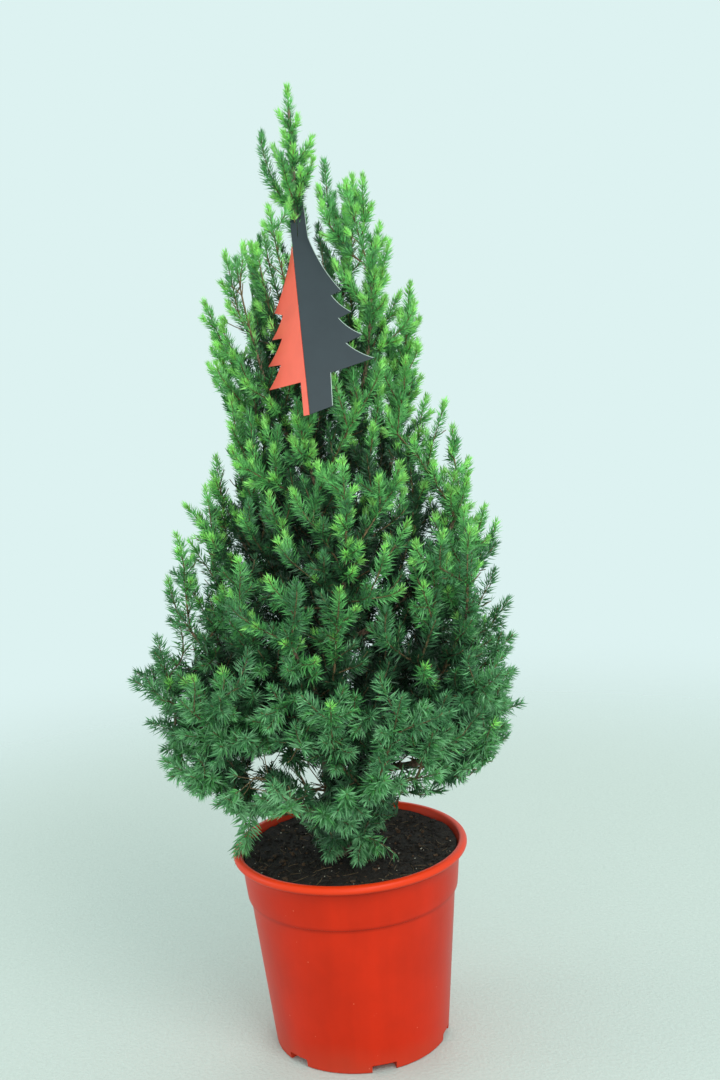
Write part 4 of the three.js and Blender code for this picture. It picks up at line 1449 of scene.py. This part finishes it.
def build_needles(skeleton, space, outline):
    """Every needle as a closed sliver of four faces, dealt out by tone to pieces."""
    random = np.random.default_rng(SEED["needles"])
    nodes = np.flatnonzero(skeleton.parents[:skeleton.count] >= 0)
    start = skeleton.points[skeleton.parents[nodes]]
    end = skeleton.points[nodes]
    kinds = np.array([traits["kind"] for traits in skeleton.traits])[skeleton.limbs[nodes]]
    tone = np.array([traits["tone"] for traits in skeleton.traits])[skeleton.limbs[nodes]]
    to_end = skeleton.to_end[nodes]
    height = end[:, 2]
    length = np.linalg.norm(end - start, axis=1)
    inner = kinds == "inner"
    full, bare = crown_at(height, "thins_from"), crown_at(height, "bare_from")
    long_shoots = np.isin(kinds, ("lead", "main")) & (height > 0.36)
    along = to_end * np.where(long_shoots, NEEDLES["long_shoots"], 1.0)
    fade = np.clip((bare - along) / (bare - full), 0, 1)
    tuft = np.interp(height, (0.30, 0.50), (2.6, 1.8))
    near = 1 + (tuft - 1) * np.interp(to_end, (0.004, 0.022), (1.0, 0.0))
    wanted = crown_at(height, "needles_per_metre") * fade * near * length
    wanted = wanted * np.where(inner, NEEDLES["on_inner"], 1.0)
    wanted *= min(1.0, NEEDLES["count"] / wanted.sum())
    counts = np.floor(wanted + random.random(len(wanted))).astype(int)

    row = np.repeat(np.arange(len(nodes)), counts)
    share = random.random(len(row))[:, None]
    base = start[row] * (1 - share) + end[row] * share
    below = to_end[row] + length[row] * (1 - share[:, 0])
    axis = unit(end - start)[row]
    first, second = perpendiculars(axis)
    turn = np.arange(len(row)) * math.radians(SPIRAL) + random.normal(0, 0.3, len(row))
    out = np.cos(turn)[:, None] * first + np.sin(turn)[:, None] * second

    high = height[row]
    blunt = np.interp(high, (0.30, 0.44, 0.55), (0.16, 0.22, 0.0))
    size = crown_at(high, "needle_length") * (1 - (0.26 + blunt) * np.clip(1 - below / 0.014, 0, 1))
    size = (size * random.uniform(0.78, 1.16, len(row)))[:, None]
    splay = np.interp(high, (0.34, 0.52), (0.56, 0.46))
    splay = splay + (1 - splay) * np.clip(below / 0.018, 0, 1)
    lean = np.radians(crown_at(high, "needle_angle") * splay)
    lean = np.clip(lean + random.normal(0, 0.19, len(row)), 0.15, 1.6)[:, None]
    way = np.cos(lean) * axis + np.sin(lean) * out
    droop = crown_at(high, "needle_droop")[:, None]
    down = np.array([[0.0, 0.0, -1.0]])
    way = unit(way + down * droop * 0.6)
    bow = out - down * droop * 1.5
    bow = unit(bow - way * (bow * way).sum(1)[:, None])
    side = unit(np.cross(way, bow))
    middle = base + way * size * 0.42 + bow * size * (0.07 + 0.12 * droop)
    width = NEEDLES["width"] / 2 * random.uniform(0.85, 1.2, (len(row), 1))
    width = width * np.clip(size / 0.009, 0.7, 1)
    tip = base + way * size

    keep = ~space.holds(tip) & ~space.holds(base) & ~in_pot(tip) & ~in_pot(base)
    chance = random.random(len(skeleton.chains))[skeleton.limbs[nodes]][row]
    passing = np.isin(kinds, ("lead", "main", "leader"))[row]  # these cross the narrow gaps
    low = WINDOWS + CLEARINGS
    clear = let_in(tip, chance) & let_in(base, chance)
    clear |= passing & let_in(tip, chance, 1.0, low) & let_in(base, chance, 1.0, low)
    keep &= clear | (kinds == "hanging")[row]
    lively = tone < np.interp(height, (0.40, 0.44, 0.50, 0.60), (0.0, 0.02, 0.12, 0.40))
    leading = np.isin(kinds, ("proud", "lead", "sprig", "leader"))
    leading &= tone < np.interp(height, (0.36, 0.45, 0.54), (0.015, 0.35, 1.1))
    lively = (lively | leading)[row]
    names = needle_tones(random, high, below, outline.depth(base), tone[row], inner[row], lively)
    dry = random.random(len(row)) < NEEDLES["dry"]
    names = np.where(dry & (below > NEEDLES["dry_behind"]), "dry", names)
    corner = np.stack([base, middle - side * width, middle + side * width, tip], 1)
    faces = np.array([[0, 2, 1], [3, 1, 2], [0, 1, 3], [0, 3, 2]])
    per_piece = TRIANGLES_PER_PIECE // len(faces)
    for name, colour in TONES.items():
        rows = np.flatnonzero(keep & (names == name))
        material = needle_finish("needles_" + name, colour)
        for number, first_row in enumerate(range(0, len(rows), per_piece), 1):
            part = rows[first_row:first_row + per_piece]
            index = faces[None] + (np.arange(len(part)) * 4)[:, None, None]
            full_name = f"needles_{name}_{number}"
            mesh = mesh_from_arrays(full_name, corner[part].reshape(-1, 3), index.reshape(-1, 3))
            piece(full_name, mesh, [material], MASSES)


# ---- Stage ----


def build_stage():
    """A pale round floor, an even pale backdrop and four soft lights."""
    bm = bmesh.new()
    bmesh.ops.create_circle(bm, cap_ends=True, segments=96, radius=2.2)
    floor = placed("floor", mesh_of("floor", bm))
    floor.data.materials.append(floor_finish(0.55, 1.7))
    floor.location.z = -0.0002

    world = bpy.data.worlds.new("studio")
    world.use_nodes = True
    backdrop = world.node_tree.nodes["Background"]
    backdrop.inputs["Color"].default_value = linear(221, 242, 241)
    backdrop.inputs["Strength"].default_value = 1.0
    bpy.context.scene.world = world
    bpy.context.scene.view_settings.view_transform = "Standard"

    for name, place, size, power in (
        ("key", (1.0, -1.7, 2.1), 1.3, 34),
        ("front", (0.3, -2.6, 0.7), 1.4, 16),
        ("side", (-1.7, 0.1, 0.7), 0.8, 6),
        ("back", (0.4, 1.8, 2.2), 1.2, 12),
    ):
        data = bpy.data.lights.new(name, "AREA")
        data.size = size
        data.energy = power
        lamp = placed(name, data)
        lamp.location = place
        to_plant = Vector((0, 0, 0.45)) - Vector(place)
        lamp.rotation_euler = to_plant.to_track_quat("-Z", "Y").to_euler()


def build_camera():
    """In front of the plant at eye height, looking a little down and held a little askew."""
    pan, pitch, roll = (math.radians(angle) for angle in (1.29, 9.72, 3.80))
    level = math.cos(pitch)
    ahead = Vector((math.sin(pan) * level, math.cos(pan) * level, -math.sin(pitch)))
    right = Vector((math.cos(pan), -math.sin(pan), 0))
    up = right.cross(ahead)
    across = math.cos(roll) * right - math.sin(roll) * up
    upward = math.sin(roll) * right + math.cos(roll) * up
    data = bpy.data.cameras.new("camera")
    data.sensor_width = 36
    data.lens = 46.63
    camera = placed("camera", data)
    camera.matrix_world = Matrix((across, upward, -ahead)).transposed().to_4x4()
    camera.location = SEEN_FROM
    bpy.context.scene.camera = camera


# ---- Assembly ----

build_camera()
build_stage()
build_pot()
build_soil()
build_soil_litter()
build_leaf("label_front", "label_dark_leaf", linear(42, 52, 57), True)
build_leaf("label_side", "label_red_leaf", linear(254, 108, 88), False)
plant, label_space, crown = grow_plant()
wood = plant.radii()
build_trunk()
build_boughs(plant, wood)
build_twigs(plant, wood)
build_needles(plant, label_space, crown)
